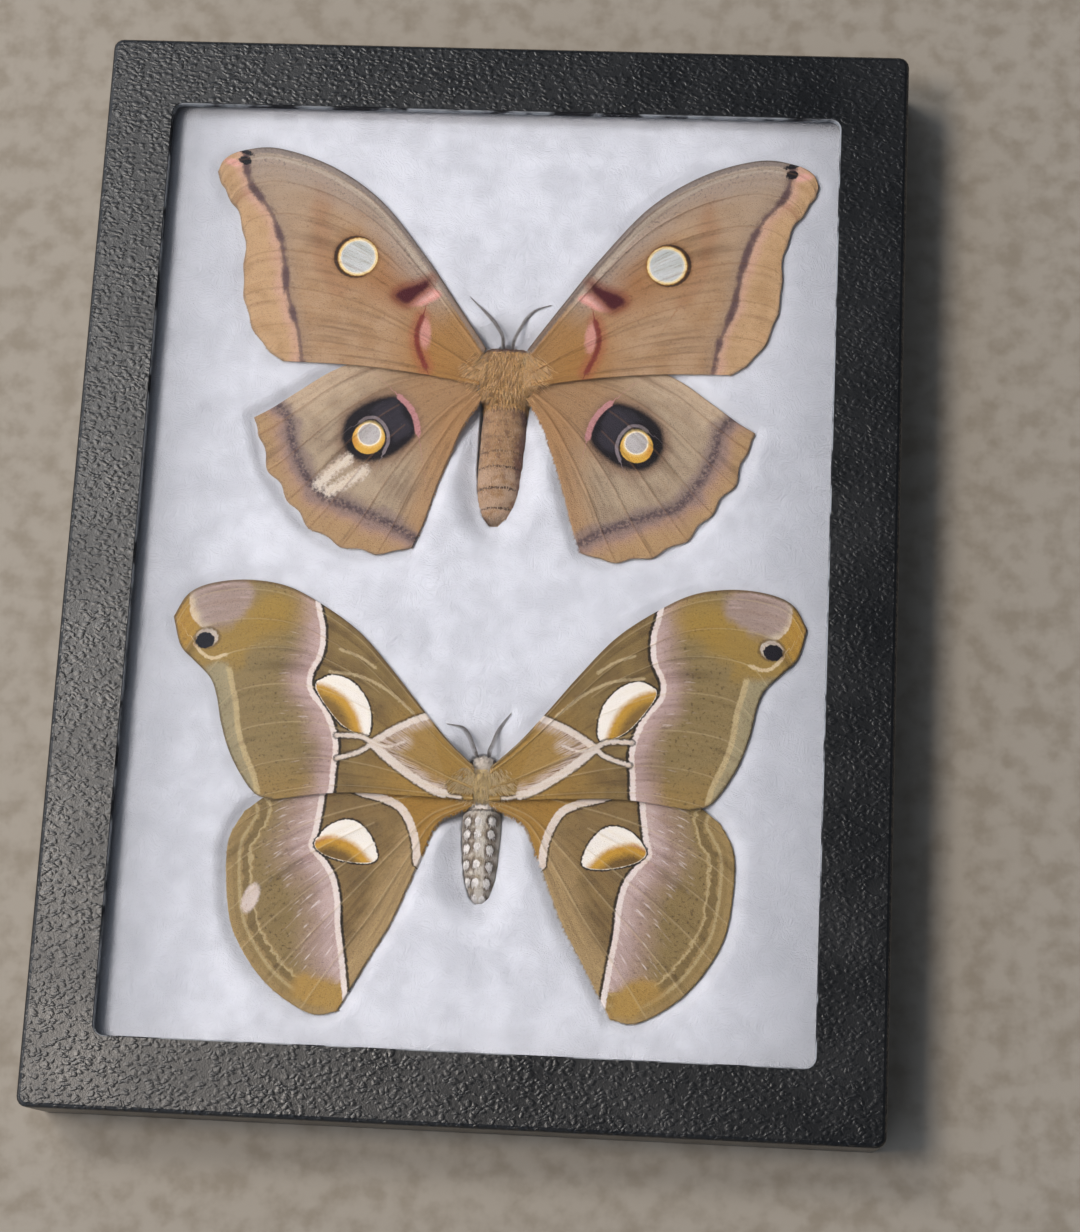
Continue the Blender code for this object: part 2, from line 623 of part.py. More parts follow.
def make_cynthia(material):
    """The cynthia moth: body, four wings and feelers joined into one solid."""
    turn = math.radians(CYNTHIA_TURN)

    def place_for(side):
        def place(point):
            x, y = side * point[0], point[1]
            return (CYNTHIA_X + x * math.cos(turn) - y * math.sin(turn),
                    CYNTHIA_Y + x * math.sin(turn) + y * math.cos(turn))
        return place

    rings = []
    for forward, radius in CYNTHIA_BODY:
        ring = []
        for x, z, _ in superellipse(radius, radius * CYNTHIA_BODY_HEIGHT, 2.4, 0.0, count=14):
            across, along = place_for(1)((x, forward))
            ring.append((across, along, min(BODY_Z + 0.6 + z, BODY_TOP)))
        rings.append(ring)
    body = make_object("cynthia_moth", *join_rings(rings), material)
    pieces = []
    wings = [(CYNTHIA_FORE_FRONT, CYNTHIA_FORE_TIP, CYNTHIA_FORE_OUTER, CYNTHIA_FORE_TORNUS, CYNTHIA_FORE_REAR,
              CYNTHIA_FORE_ROOT, FOREWING_Z),
             (CYNTHIA_HIND_FRONT, CYNTHIA_HIND_TIP, CYNTHIA_HIND_OUTER, CYNTHIA_HIND_TORNUS, CYNTHIA_HIND_REAR,
              CYNTHIA_HIND_ROOT, HINDWING_Z)]
    for front, tip, outer, tornus, rear, root, low_z in wings:
        root_line = [(CYNTHIA_ROOT_X, root[0]), (CYNTHIA_ROOT_X, root[1])]
        edges = wing_edges(front, tip, outer, tornus, rear, root_line)
        for side in (-1, 1):
            shape = wing_mesh(edges, PLAIN_VEINS, WING_ROWS - 2, low_z, place_for(side))
            pieces.append(make_object("wing", *shape))
    for path in CYNTHIA_ANTENNAE:
        route = [(*place_for(1)(point), mix(12.0, ANTENNA_Z, smoothstep(4.0, 6.2, point[1]))) for point in path]
        count = 10
        radii = [(mix(CYNTHIA_ANTENNA_RADIUS, 0.2, i / (count - 1)),) * 2 for i in range(count)]
        pieces.append(make_tube("feeler", smooth_path(route, count), radii, sides=6))
    return combine(body, pieces, "UNION")


def build():
    """Makes every node of the model."""
    clear_scene()
    paper = make_material("black_embossed_paper", BLACK_PAPER, 0.42)
    pane = make_material("clear_glass", PANE, 0.03, alpha=0.25)
    cotton = make_material("cotton_batting", COTTON, 0.95)
    scales = make_material("buff_wing_scales", BUFF_SCALES, 0.8)
    fur = make_material("tan_fur", TAN_FUR, 0.9)
    pink_fur = make_material("pink_tan_fur", PINK_TAN_FUR, 0.9)
    cuticle = make_material("brown_cuticle", BROWN_CUTICLE, 0.5)
    eye = make_material("dark_eye", EYE_BLACK, 0.2)
    olive = make_material("olive_wing_scales", OLIVE_SCALES, 0.8)

    make_lid(paper)
    make_tray(paper)
    make_glass(pane)
    make_batting(cotton)
    make_thorax(fur)
    make_abdomen(pink_fur)
    make_head(fur)
    for word, side, path in (("left", -1, ANTENNA_LEFT), ("right", 1, ANTENNA_RIGHT)):
        make_ball("eye_" + word, eye_centre(side), (EYE_RADIUS,) * 3, eye, rings=9, count=12)
        make_antenna("antenna_" + word, side, path, cuticle)
        make_moth_wing("forewing_" + word, side,
                       (FOREWING_FRONT, FOREWING_TIP, FOREWING_OUTER, FOREWING_TORNUS, FOREWING_REAR),
                       FOREWING_ROOT, FOREWING_VEINS, FOREWING_Z, scales)
        make_moth_wing("hindwing_" + word, side,
                       (HINDWING_FRONT, HINDWING_TIP, HINDWING_OUTER, HINDWING_TORNUS, HINDWING_REAR),
                       HINDWING_ROOT, HINDWING_VEINS, HINDWING_Z, scales)
        for leg, leg_path in LEG_PATHS.items():
            make_leg(leg + "_" + word, side, leg_path, cuticle)
    make_cynthia(olive)


build()
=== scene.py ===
# %% [markdown]
# A spread polyphemus moth in a shallow black case with a glass lid, above a second, plainer
# cynthia moth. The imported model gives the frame: the case, the pane, the cotton pad and plain solids
# of both moths. This script dresses it. Everything below is written in millimetres, because a moth's
# scales, hairs and veins are easier to think of that way, and one factor turns them to metres.

# %% Load the frame and keep its size
import math

import bpy
import numpy as np
from mathutils import Matrix, Vector, noise


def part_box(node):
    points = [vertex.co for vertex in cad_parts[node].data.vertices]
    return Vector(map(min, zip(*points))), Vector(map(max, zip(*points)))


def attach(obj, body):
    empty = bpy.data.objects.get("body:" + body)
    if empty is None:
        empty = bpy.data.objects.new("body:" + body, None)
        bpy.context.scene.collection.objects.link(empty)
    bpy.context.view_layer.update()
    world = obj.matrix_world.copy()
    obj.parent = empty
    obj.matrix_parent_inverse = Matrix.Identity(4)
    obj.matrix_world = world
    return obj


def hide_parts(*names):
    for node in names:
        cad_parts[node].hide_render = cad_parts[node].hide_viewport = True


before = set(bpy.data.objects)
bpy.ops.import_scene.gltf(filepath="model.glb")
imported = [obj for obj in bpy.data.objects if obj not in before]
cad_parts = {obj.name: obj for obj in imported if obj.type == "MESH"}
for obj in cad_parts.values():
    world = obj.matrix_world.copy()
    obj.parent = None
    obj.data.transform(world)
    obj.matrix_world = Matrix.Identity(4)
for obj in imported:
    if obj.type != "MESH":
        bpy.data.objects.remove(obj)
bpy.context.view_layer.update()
MM = 0.001
print("frame:", len(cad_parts), "nodes")

# %% [markdown]
# Colours are easiest to read off a photograph as sRGB hex values, but shaders work in linear light.
# One function turns the first into the second.

# %% Colours
def paint(code):
    """A linear RGBA colour from an sRGB hex code."""
    channels = [int(code[i:i + 2], 16) / 255 for i in (1, 3, 5)]
    return tuple(c / 12.92 if c < 0.04045 else ((c + 0.055) / 1.055) ** 2.4 for c in channels) + (1.0,)


# %% [markdown]
# A material is a graph of nodes. One small function adds a node: keywords are the node's own
# settings, and a dictionary gives each of its sockets a number, a colour or a link.

# %% Adding a shader node
FACTOR, UNDER, OVER, MIXED = 0, 6, 7, 2  # a Mix node's colour sockets go by number


def add(tree, kind, sockets=None, **settings):
    """Adds a node. A socket's value is a number, a colour, or another node's output to link."""
    made = tree.nodes.new(kind)
    for name, value in settings.items():
        setattr(made, name, value)
    for name, value in (sockets or {}).items():
        if isinstance(value, bpy.types.NodeSocket):
            tree.links.new(value, made.inputs[name])
        else:
            made.inputs[name].default_value = value
    return made


def new_finish(name, roughness, **values):
    """A material with its node tree, its Principled shader, and the surface's place in millimetres."""
    material = bpy.data.materials.new(name)
    material.use_nodes = True
    tree = material.node_tree
    shader = tree.nodes["Principled BSDF"]
    shader.inputs["Roughness"].default_value = roughness
    for socket, value in values.items():
        shader.inputs[socket.replace("_", " ")].default_value = value
    metres = add(tree, "ShaderNodeTexCoord").outputs["Object"]
    place = add(tree, "ShaderNodeVectorMath", {0: metres, "Scale": 1 / MM}, operation="SCALE").outputs[0]
    return material, tree, shader, place


# %% [markdown]
# Scales, felt and paper never have one flat colour. Here each colour is laid over the last through a
# mask: a field of real distances in millimetres that fades in between two of them. Noise added to
# the field breaks the mask's edge, because single scales end where the pattern does.

# %% Noise in real sizes, and one colour over another
def grain(tree, place, size, reach=1.0, detail=3.0, stretch=(1.0, 1.0, 1.0)):
    """Noise with blotches of a size in millimetres, from about -reach to reach."""
    scaled = add(tree, "ShaderNodeVectorMath", {0: place, 1: stretch}, operation="MULTIPLY").outputs[0]
    cloud = add(tree, "ShaderNodeTexNoise", {"Vector": scaled, "Scale": 1 / size, "Detail": detail})
    return add(tree, "ShaderNodeMapRange", {"Value": cloud.outputs[0], "From Min": 0.25, "From Max": 0.75,
                                            "To Min": -reach, "To Max": reach}, clamp=False).outputs[0]


def mask_of(tree, field, start, full, ragged=None, strength=1.0):
    """0 to strength as a field goes from start to full."""
    if ragged is not None:
        field = add(tree, "ShaderNodeMath", {0: field, 1: ragged}, operation="ADD").outputs[0]
    return add(tree, "ShaderNodeMapRange", {"Value": field, "From Min": start, "From Max": full,
                                            "To Max": strength},
               interpolation_type="SMOOTHSTEP").outputs[0]


def lay_over(tree, under, colour, mask, how="MIX"):
    """One colour over another, through a mask."""
    return add(tree, "ShaderNodeMix", {FACTOR: mask, UNDER: under, OVER: colour}, data_type="RGBA",
               blend_type=how).outputs[MIXED]


def both(tree, first, second):
    """Where two masks overlap."""
    return add(tree, "ShaderNodeMath", {0: first, 1: second}, operation="MULTIPLY").outputs[0]


def unsigned(tree, value):
    """A value without its sign, such as a distance to either side."""
    return add(tree, "ShaderNodeMath", {0: value}, operation="ABSOLUTE").outputs[0]


def emboss(tree, shader, height, depth):
    """A bump from a height field whose full swing is a depth in millimetres."""
    bump = add(tree, "ShaderNodeBump", {"Height": height, "Distance": depth * MM, "Strength": 1.0})
    tree.links.new(bump.outputs[0], shader.inputs["Normal"])


# %% [markdown]
# Most pieces here are made from arrays of points, which is quick enough for a hundred thousand hairs.
# One function turns points in millimetres and faces into an object, with any fields stored on its
# points for the material to read, and a UV map where the piece needs one.

# %% Making a piece from arrays
def make_piece(name, points, faces, material, fields=None, uv=None, smooth=True):
    """An object from points in millimetres, riding on the root body."""
    mesh = bpy.data.meshes.new(name)
    corners_of_faces = faces.tolist() if isinstance(faces, np.ndarray) else faces
    mesh.from_pydata((np.asarray(points) * MM).tolist(), [], corners_of_faces)
    for label, values in (fields or {}).items():
        mesh.attributes.new(label, "FLOAT", "POINT").data.foreach_set("value", np.asarray(values, np.float32))
    if uv is not None:
        corners = np.zeros(len(mesh.loops), np.int32)
        mesh.loops.foreach_get("vertex_index", corners)
        layer = mesh.uv_layers.new(name="OFBake")
        layer.data.foreach_set("uv", np.asarray(uv, np.float32)[corners].ravel())
    mesh.materials.append(material)
    if smooth:
        mesh.shade_smooth()
    made = bpy.data.objects.new(name, mesh)
    bpy.context.scene.collection.objects.link(made)
    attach(made, "root")
    return made


def triangles_in(made):
    """How many triangles an object's faces come to."""
    return sum(len(face.vertices) - 2 for face in made.data.polygons)


def sheet_faces(rows, columns):
    """The quads of a grid of points, and the points round its rim in order."""
    index = np.arange(rows * columns).reshape(rows, columns)
    quads = [part.ravel() for part in (index[:-1, :-1], index[:-1, 1:], index[1:, 1:], index[1:, :-1])]
    rim = np.concatenate([index[0, :-1], index[:-1, -1], index[-1, :0:-1], index[:0:-1, 0]])
    return np.column_stack(quads), rim


def ring_faces(rings, count):
    """The quads between rings of points, with a face that closes each end."""
    faces = []
    for low in range(0, (rings - 1) * count, count):
        for k in range(count):
            following = (k + 1) % count
            faces.append((low + k, low + following, low + count + following, low + count + k))
    faces.append(tuple(range(count))[::-1])
    faces.append(tuple(range((rings - 1) * count, rings * count)))
    return faces


def join_forms(forms):
    """Several forms' points and faces as one."""
    points, faces, start = [], [], 0
    for form_points, form_faces in forms:
        points.append(form_points)
        faces += [tuple(start + i for i in face) for face in form_faces]
        start += len(form_points)
    return np.vstack(points), faces


def read_points(mesh, what="co"):
    """A mesh's points, or their normals, as an array."""
    values = np.zeros(len(mesh.vertices) * 3)
    mesh.vertices.foreach_get(what, values)
    return values.reshape(-1, 3)


# %% [markdown]
# Curves are written as a few points that a smooth line passes through. The wing of a moth is then a
# patch between four of them: its front, outer, rear and root margins. Shares across and along the
# patch give a place for every scale, and the main veins run along lines of equal share.

# %% Smooth lines, distances to them, and patches
def smooth_path(points, count):
    """Evenly spaced points on a smooth curve through the ones given."""
    knots = np.array(points, float)
    knots = np.vstack([2 * knots[0] - knots[1], knots, 2 * knots[-1] - knots[-2]])
    t = np.linspace(0, 1, 12, endpoint=False)[:, None]
    parts = []
    for a, b, c, d in zip(knots, knots[1:], knots[2:], knots[3:]):
        parts.append(0.5 * (2 * b + (c - a) * t + (2 * a - 5 * b + 4 * c - d) * t ** 2
                            + (3 * b - a - 3 * c + d) * t ** 3))
    fine = np.vstack(parts + [knots[-2:-1]])
    walked = np.concatenate([[0.0], np.cumsum(np.linalg.norm(np.diff(fine, axis=0), axis=1))])
    even = np.linspace(0, walked[-1], count)
    return np.stack([np.interp(even, walked, fine[:, k]) for k in range(fine.shape[1])], 1)


def along_curve(curve, share):
    """Points at shares of an evenly spaced curve."""
    steps = np.linspace(0, 1, len(curve))
    return np.stack([np.interp(share, steps, curve[:, k]) for k in range(curve.shape[1])], -1)


def distance_to(points, line):
    """Signed distance in the plane from points to a line, positive on the line's left."""
    best = np.full(len(points), 1e9)
    sign = np.ones(len(points))
    for a, b in zip(line, line[1:]):
        run = b - a
        offset = points - a
        share = np.clip(offset @ run / max(run @ run, 1e-9), 0, 1)
        away = offset - share[:, None] * run
        squared = (away ** 2).sum(1)
        nearer = squared < best - 1e-9
        best[nearer] = squared[nearer]
        side = run[0] * offset[:, 1] - run[1] * offset[:, 0]
        sign[nearer] = np.sign(side[nearer])
    return np.sqrt(best) * np.where(sign == 0, 1, sign)


def blob(points, centre, half_sizes, turn=0.0):
    """About the distance in millimetres outside a small oval, negative inside it."""
    c, s = math.cos(math.radians(turn)), math.sin(math.radians(turn))
    x, y = (points - np.array(centre)).T
    across, along = (x * c + y * s) / half_sizes[0], (y * c - x * s) / half_sizes[1]
    return (np.hypot(across, along) - 1) * min(half_sizes)


def inside(points, outline):
    """Whether points lie inside a closed outline."""
    x, y = points.T
    odd = np.zeros(len(points), bool)
    for (x0, y0), (x1, y1) in zip(outline, np.roll(outline, -1, 0)):
        crosses = (y0 > y) != (y1 > y)
        odd ^= crosses & (x < (x1 - x0) * (y - y0) / (y1 - y0 + 1e-12) + x0)
    return odd


def outside_distance(points, outline):
    """Distance outside a closed outline, negative inside."""
    away = np.abs(distance_to(points, np.vstack([outline, outline[:1]])))
    return np.where(inside(points, outline), -away, away)


def closed_curve(points):
    """A smooth closed outline through points."""
    looped = smooth_path(list(points) + [points[0]], len(points) * 6)
    return looped[:-1]


def smoothstep(low, high, value):
    """0 below low, 1 above high, and an even curve between."""
    share = np.clip((value - low) / (high - low), 0, 1)
    return share * share * (3 - 2 * share)


def patch(wing, u, v):
    """Places on a wing, at shares u out from its root and v back from its front margin."""
    front, outer, rear, root = wing["margins"]
    u, v = np.broadcast_arrays(np.asarray(u, float), np.asarray(v, float))
    from_vein = np.min([np.abs(v - share) for share, _ in wing["veins"]], axis=0)
    u = u * (1 - wing["waves"] * smoothstep(0, 0.075, from_vein) * smoothstep(0, 0.1, np.minimum(v, 1 - v)))
    a, b = u[..., None], v[..., None]
    ruled = (along_curve(front, u) * (1 - b) + along_curve(rear, u) * b
             + along_curve(root, v) * (1 - a) + along_curve(outer, v) * a)
    corners = (root[0] * (1 - a) + outer[0] * a) * (1 - b) + (root[-1] * (1 - a) + outer[-1] * a) * b
    return ruled - corners


# %% [markdown]
# The wings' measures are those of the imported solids: millimetres out from the moth's midline and
# forward from the middle of its thorax. Both sides use the same numbers, mirrored.

# %% Where the moths and their layers lie
GLASS_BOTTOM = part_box("case_glass")[0].z / MM
FOREWING_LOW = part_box("forewing_left")[0].z / MM
HINDWING_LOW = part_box("hindwing_left")[0].z / MM
THORAX_LOW, THORAX_HIGH = (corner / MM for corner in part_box("thorax"))
MOTH_X = (THORAX_LOW.x + THORAX_HIGH.x) / 2
MOTH_Y = (THORAX_LOW.y + THORAX_HIGH.y) / 2
THORAX_HALF = (THORAX_HIGH.x - THORAX_LOW.x) / 2
BODY_Z = 9.7
WING_THICKNESS = 0.5
CYNTHIA_X, CYNTHIA_Y, CYNTHIA_TURN = 2.65, -42.0, 0.9
print("moth at", round(MOTH_X, 2), round(MOTH_Y, 2), "forewings from z", round(FOREWING_LOW, 2))


def on_moth(points, side=1):
    """Case coordinates of places on the polyphemus moth."""
    return np.stack([MOTH_X + side * points[..., 0], MOTH_Y + points[..., 1]], -1)


def on_cynthia(points, side=1):
    """Case coordinates of places on the cynthia moth, which is pinned slightly askew."""
    c, s = math.cos(math.radians(CYNTHIA_TURN)), math.sin(math.radians(CYNTHIA_TURN))
    x, y = side * points[..., 0], points[..., 1]
    return np.stack([CYNTHIA_X + x * c - y * s, CYNTHIA_Y + x * s + y * c], -1)


# %% The margins of the wings
def loaf_reach(forward, low_z):
    """How far the thorax's side stands out at a place along it, at a height."""
    power = np.where(forward > 0, 6.0, 4.0)
    plan = np.clip(1 - np.abs(forward / 5.6) ** power, 0, 1) ** (1 / power)
    room = plan ** 3.5 - abs((low_z - BODY_Z) / 5.6) ** 3.5
    return THORAX_HALF * np.clip(room, 0, 1) ** (1 / 3.5)


def make_wing(front, tip, outer, tornus, rear, root, low, veins, waves=0.0):
    """A wing's margins as smooth curves, with its height, veins and how wavy its outer margin is."""
    if len(root[0]) == 1:
        forward = np.linspace(root[0][0], root[-1][0], 6)
        root = np.stack([loaf_reach(forward, low) + 0.3, forward], 1)
    root = np.array(root, float)
    margins = (smooth_path([root[0]] + front + [tip], 160), smooth_path([tip] + outer + [tornus], 160),
               smooth_path([root[-1]] + rear + [tornus], 160), root)
    return {"margins": margins, "low": low, "veins": veins, "waves": waves}


forewing = make_wing(
    front=[(6.5, 8.8), (11, 15.3), (17.2, 24), (26.6, 35.2), (37, 42.3), (48, 45.8), (55, 45.1),
           (58.6, 43.2)],
    tip=(59.8, 40.4),
    outer=[(58.4, 36.6), (55.2, 31.6), (53.3, 25), (53.2, 18), (52.2, 12.2), (50.3, 7.4), (47.4, 3.6)],
    tornus=(43.9, 1.2), rear=[(12, -1.2), (20.5, 0), (31, 0.9)], root=[(5.0,), (-2.5,)], low=FOREWING_LOW,
    veins=[(0.04, 0), (0.16, 0), (0.31, 0.42), (0.47, 0.45), (0.63, 0), (0.79, 0.3), (0.94, 0)], waves=0.009)
hindwing = make_wing(
    front=[(13, 3.5), (24, 3.8), (33.4, 0.2), (40.5, -4.6), (45.5, -8.2)],
    tip=(48.9, -10.2),
    outer=[(47.4, -15), (46, -20), (42.2, -25.5), (38, -31), (33, -34.6), (27, -36.6), (21, -36.9)],
    tornus=(16.2, -35.3), rear=[(7.6, -10), (9.9, -16), (12.3, -23), (14.3, -30)], root=[(0.8,), (-4.8,)],
    low=HINDWING_LOW, veins=[(0.08, 0), (0.24, 0), (0.39, 0.4), (0.54, 0.42), (0.70, 0), (0.85, 0)],
    waves=0.018)
cynthia_forewing = make_wing(
    front=[(6.6, 8), (11.6, 13.8), (18, 21.6), (24.5, 28.7), (32, 34), (39, 37.5), (46.5, 38.6), (53.5, 37.8),
           (58, 35.6)],
    tip=(60.6, 31),
    outer=[(58.9, 25.4), (56.1, 22.5), (52.8, 19.2), (51.3, 15.6), (50.2, 10.6), (48.4, 5.3), (45.8, 0.6),
           (42.8, -3)],
    tornus=(39.5, -4), rear=[(14, -2.6), (27, -2.4)], root=[(1.5, 3.2), (1.5, -3.2)], low=FOREWING_LOW,
    veins=[(0.04, 0), (0.17, 0), (0.32, 0.42), (0.48, 0.45), (0.64, 0), (0.8, 0.3), (0.94, 0)])
cynthia_hindwing = make_wing(
    front=[(14, 1), (28, 1.2), (39, -2.2)],
    tip=(44.8, -6.2),
    outer=[(47.4, -11.4), (47.6, -18), (46.4, -26.5), (43.8, -32.2), (39.5, -37.8), (34.5, -41.7),
           (29.6, -43.9)],
    tornus=(25.4, -43.2), rear=[(8, -7.3), (10.9, -13.5), (13.6, -20.2), (16.2, -26.5), (19.4, -32.2)],
    root=[(1.5, 0), (1.5, -4)], low=HINDWING_LOW,
    veins=[(0.08, 0), (0.24, 0), (0.39, 0.4), (0.54, 0.42), (0.7, 0), (0.86, 0)])
print("forewing reaches", forewing["margins"][0][:, 0].max().round(1), "mm out from the midline")

# %% [markdown]
# The pattern is stored on each wing's points as fields: how far each point is from a line, an oval or
# a margin. A distance changes evenly over a face, so the material can draw a crisp edge from it
# between the points, which a painted vertex colour couldn't.

# %% The polyphemus moth's markings
def forewing_fields(p):
    """Distances in millimetres to each marking of the polyphemus forewing."""
    outer_line = smooth_path([(54.6, 44.6), (54.1, 41.6), (53, 38), (49.7, 34), (47.4, 30), (46, 26),
                              (45, 21.5),
                              (44.2, 16.5), (43, 12.3), (41.3, 7.5), (40.2, 1.5), (39.9, -2)], 60)
    crescent = smooth_path([(17.0, 11.3), (17.8, 8.5), (17.8, 6.3), (17.2, 4.1), (15.7, 0.8)], 24)
    rust = smooth_path([(39.4, 42), (38.5, 39), (38.1, 35.5), (38.4, 30), (37.5, 23), (34, 16.5)], 30)
    maroon = [(15.9, 19.2), (18.4, 17.9), (21.2, 16.9), (22.6, 15.5), (21.2, 14.2), (19.9, 14.0),
              (18.2, 15.6), (16.3, 17.5)]
    blush = [(20.1, 13.4), (18.6, 15.1), (16.4, 17.1), (14.4, 16.9), (13.4, 15.7), (15.4, 14.4), (17.8, 13.4)]
    return {"outer_line": distance_to(p, outer_line), "crescent": distance_to(p, crescent),
            "rust": distance_to(p, rust), "eye": np.hypot(p[:, 0] - 30.5, p[:, 1] - 23.3),
            "eye_rim": np.hypot(p[:, 0] - 30.9, p[:, 1] - 23.3),
            "maroon": outside_distance(p, closed_curve(maroon)),
            "blush": outside_distance(p, closed_curve(blush)),
            "spot_high": blob(p, (54.4, 44.75), (1.35, 0.42), 14),
            "spot_low": blob(p, (54.5, 43.0), (1.2, 0.78), 8),
            "lens": blob(p, (16.3, 7.9), (1.15, 3.1), -4), "apex_pink": blob(p, (56.8, 42.5), (1.9, 0.9), 12),
            "base": np.hypot(p[:, 0] - 6, p[:, 1] - 3), "behind_eye": blob(p, (24.5, 19.5), (8.0, 4.2), 35)}


def hindwing_fields(p):
    """Distances in millimetres to each marking of the polyphemus hindwing."""
    band = smooth_path([(47.5, -4.5), (44.3, -7.6), (41.9, -10.4), (41.2, -14.2), (39.8, -18), (37.5, -22),
                        (34, -25.7),
                        (30, -27.1), (25.3, -28.9), (20.6, -30.8), (16.8, -33), (13, -35.5)], 60)
    patch_edge = [(31.3, -13.9), (30.7, -10), (28.1, -7.3), (24.5, -5.5), (20.8, -5.1), (18.4, -7.7),
                  (17, -11.5),
                  (18.4, -14.4), (22.4, -17.4), (26.9, -18.3), (29.8, -16.7)]
    inner = [(27.4, -8.3), (24.4, -6.5), (20.9, -6.3), (18.9, -9.2), (18.4, -12), (20.4, -14.6), (22, -14.8),
             (22.5, -11.7), (24.7, -9.4)]
    thin_arc = smooth_path([(28, -10.4), (26.6, -9.5), (24.7, -9.6), (22.9, -11.4), (22.2, -14),
                            (23, -16.5)], 24)
    pink_arc = smooth_path([(20.6, -5), (18.5, -7), (17.1, -9.6), (16.5, -12.2)], 16)
    rubs = [smooth_path([(35.2, -23.4), (32.5, -20.1), (30, -18)], 12),
            smooth_path([(33.2, -24.6), (29.4, -22.4), (26.5, -20.2)], 12)]
    return {"outer_line": distance_to(p, band), "patch": outside_distance(p, closed_curve(patch_edge)),
            "inner_grey": outside_distance(p, closed_curve(inner)), "thin_arc": distance_to(p, thin_arc),
            "pink_arc": distance_to(p, pink_arc), "ring": np.hypot(p[:, 0] - 26.1, p[:, 1] + 13.7),
            "eye": np.hypot(p[:, 0] - 26.0, p[:, 1] + 12.9), "base": np.hypot(p[:, 0] - 6, p[:, 1] + 2),
            "rubbed": np.min([np.abs(distance_to(p, rub)) for rub in rubs], axis=0)}


def cynthia_fore_fields(p):
    """Distances in millimetres to each marking of the cynthia forewing."""
    band = smooth_path([(32.6, 36.5), (32.1, 33.3), (31.1, 29.1), (31.3, 24.3), (33.1, 20.1), (32.7, 17.1),
                        (30.4, 14.3),
                        (28.6, 10.8), (27.5, 6.6), (27.8, 1.9), (27.9, -1.6), (28.5, -4)], 60)
    moon = [(32.2, 18.9), (29.3, 20.2), (25.8, 19.1), (23, 16.2), (21.7, 12.6), (21.8, 9.1), (23.5, 8.8),
            (27.1, 10.8),
            (30.2, 14.3), (32.2, 17.4)]
    gold_edge = smooth_path([(32.2, 18.7), (29.4, 17.9), (26.3, 15.8), (24.2, 12.6), (23.0, 9.0)], 30)
    strokes = [([(21.1, 7.3), (17.7, 9.6), (14.3, 11.4), (10.9, 12.7)], 0.6),
               ([(21.1, 7.3), (18.1, 4.6), (13.8, 1.4), (9.4, -1.2), (7.2, -2.0)], 0.75),
               ([(7.8, -1.8), (5.8, -2.5), (4.0, -2.7)], 0.22),
               ([(21.1, 7.3), (23.5, 8.5), (28, 8.6)], 0.36), ([(21.1, 7.3), (23.4, 5.6), (27.6, 4.2)], 0.36),
               ([(20.2, 7.0), (17.8, 6.7), (15.0, 7.6)], 0.2)]
    fan = [(21.1, 7.3), (14.3, 11.4), (10.0, 12.7), (9.0, 7.0), (6.4, -2.2), (13.8, 1.4)]
    pale = [smooth_path([(29.9, 20.9), (24, 20.1), (18.7, 17.5), (13.5, 13.2)], 30),
            smooth_path([(28.2, 25.3), (24.3, 23.9), (21.2, 21.8)], 16)]
    submargin = smooth_path([(49.3, 21.2), (48.6, 18.2), (47.6, 14.5), (46.9, 9.7), (45.4, 5), (43.3, 0.4),
                             (42.4, -3)], 40)
    mauve = [(57.4, 34.4), (56.9, 31.5), (55.2, 29.6), (53.3, 28.8), (51, 29.2), (48.7, 30), (46.4, 32),
             (45.2, 34),
             (45.2, 37.2), (48, 39.5), (53, 39.5), (57, 37)]
    foot = smooth_path([(56, 25.6), (54.6, 23.9), (52.6, 23), (50, 23.8)], 20)
    return {"outer_line": distance_to(p, band), "crescent": outside_distance(p, closed_curve(moon)),
            "gold_edge": distance_to(p, gold_edge), "submargin": distance_to(p, submargin),
            "branch": np.min([np.abs(distance_to(p, smooth_path(line, 24))) - half for line,
                              half in strokes], axis=0),
            "fan": outside_distance(p, closed_curve(fan)),
            "pale_vein": np.min([np.abs(distance_to(p, line)) for line in pale], axis=0),
            "eye": blob(p, (54.2, 26.5), (1.85, 1.55), -10),
            "eye_cap": blob(p, (53.9, 27.0), (2.15, 1.8), -10),
            "eye_foot": distance_to(p, foot), "apex_grey": outside_distance(p, closed_curve(mauve)),
            "apex_gold": blob(p, (43, 31.0), (8.4, 4.2), -28),
            "tip_gold": blob(p, (58.8, 29.0), (3.2, 5.6), 14),
            "ahead": p[:, 1], "base": np.hypot(p[:, 0] - 3, p[:, 1] - 1)}


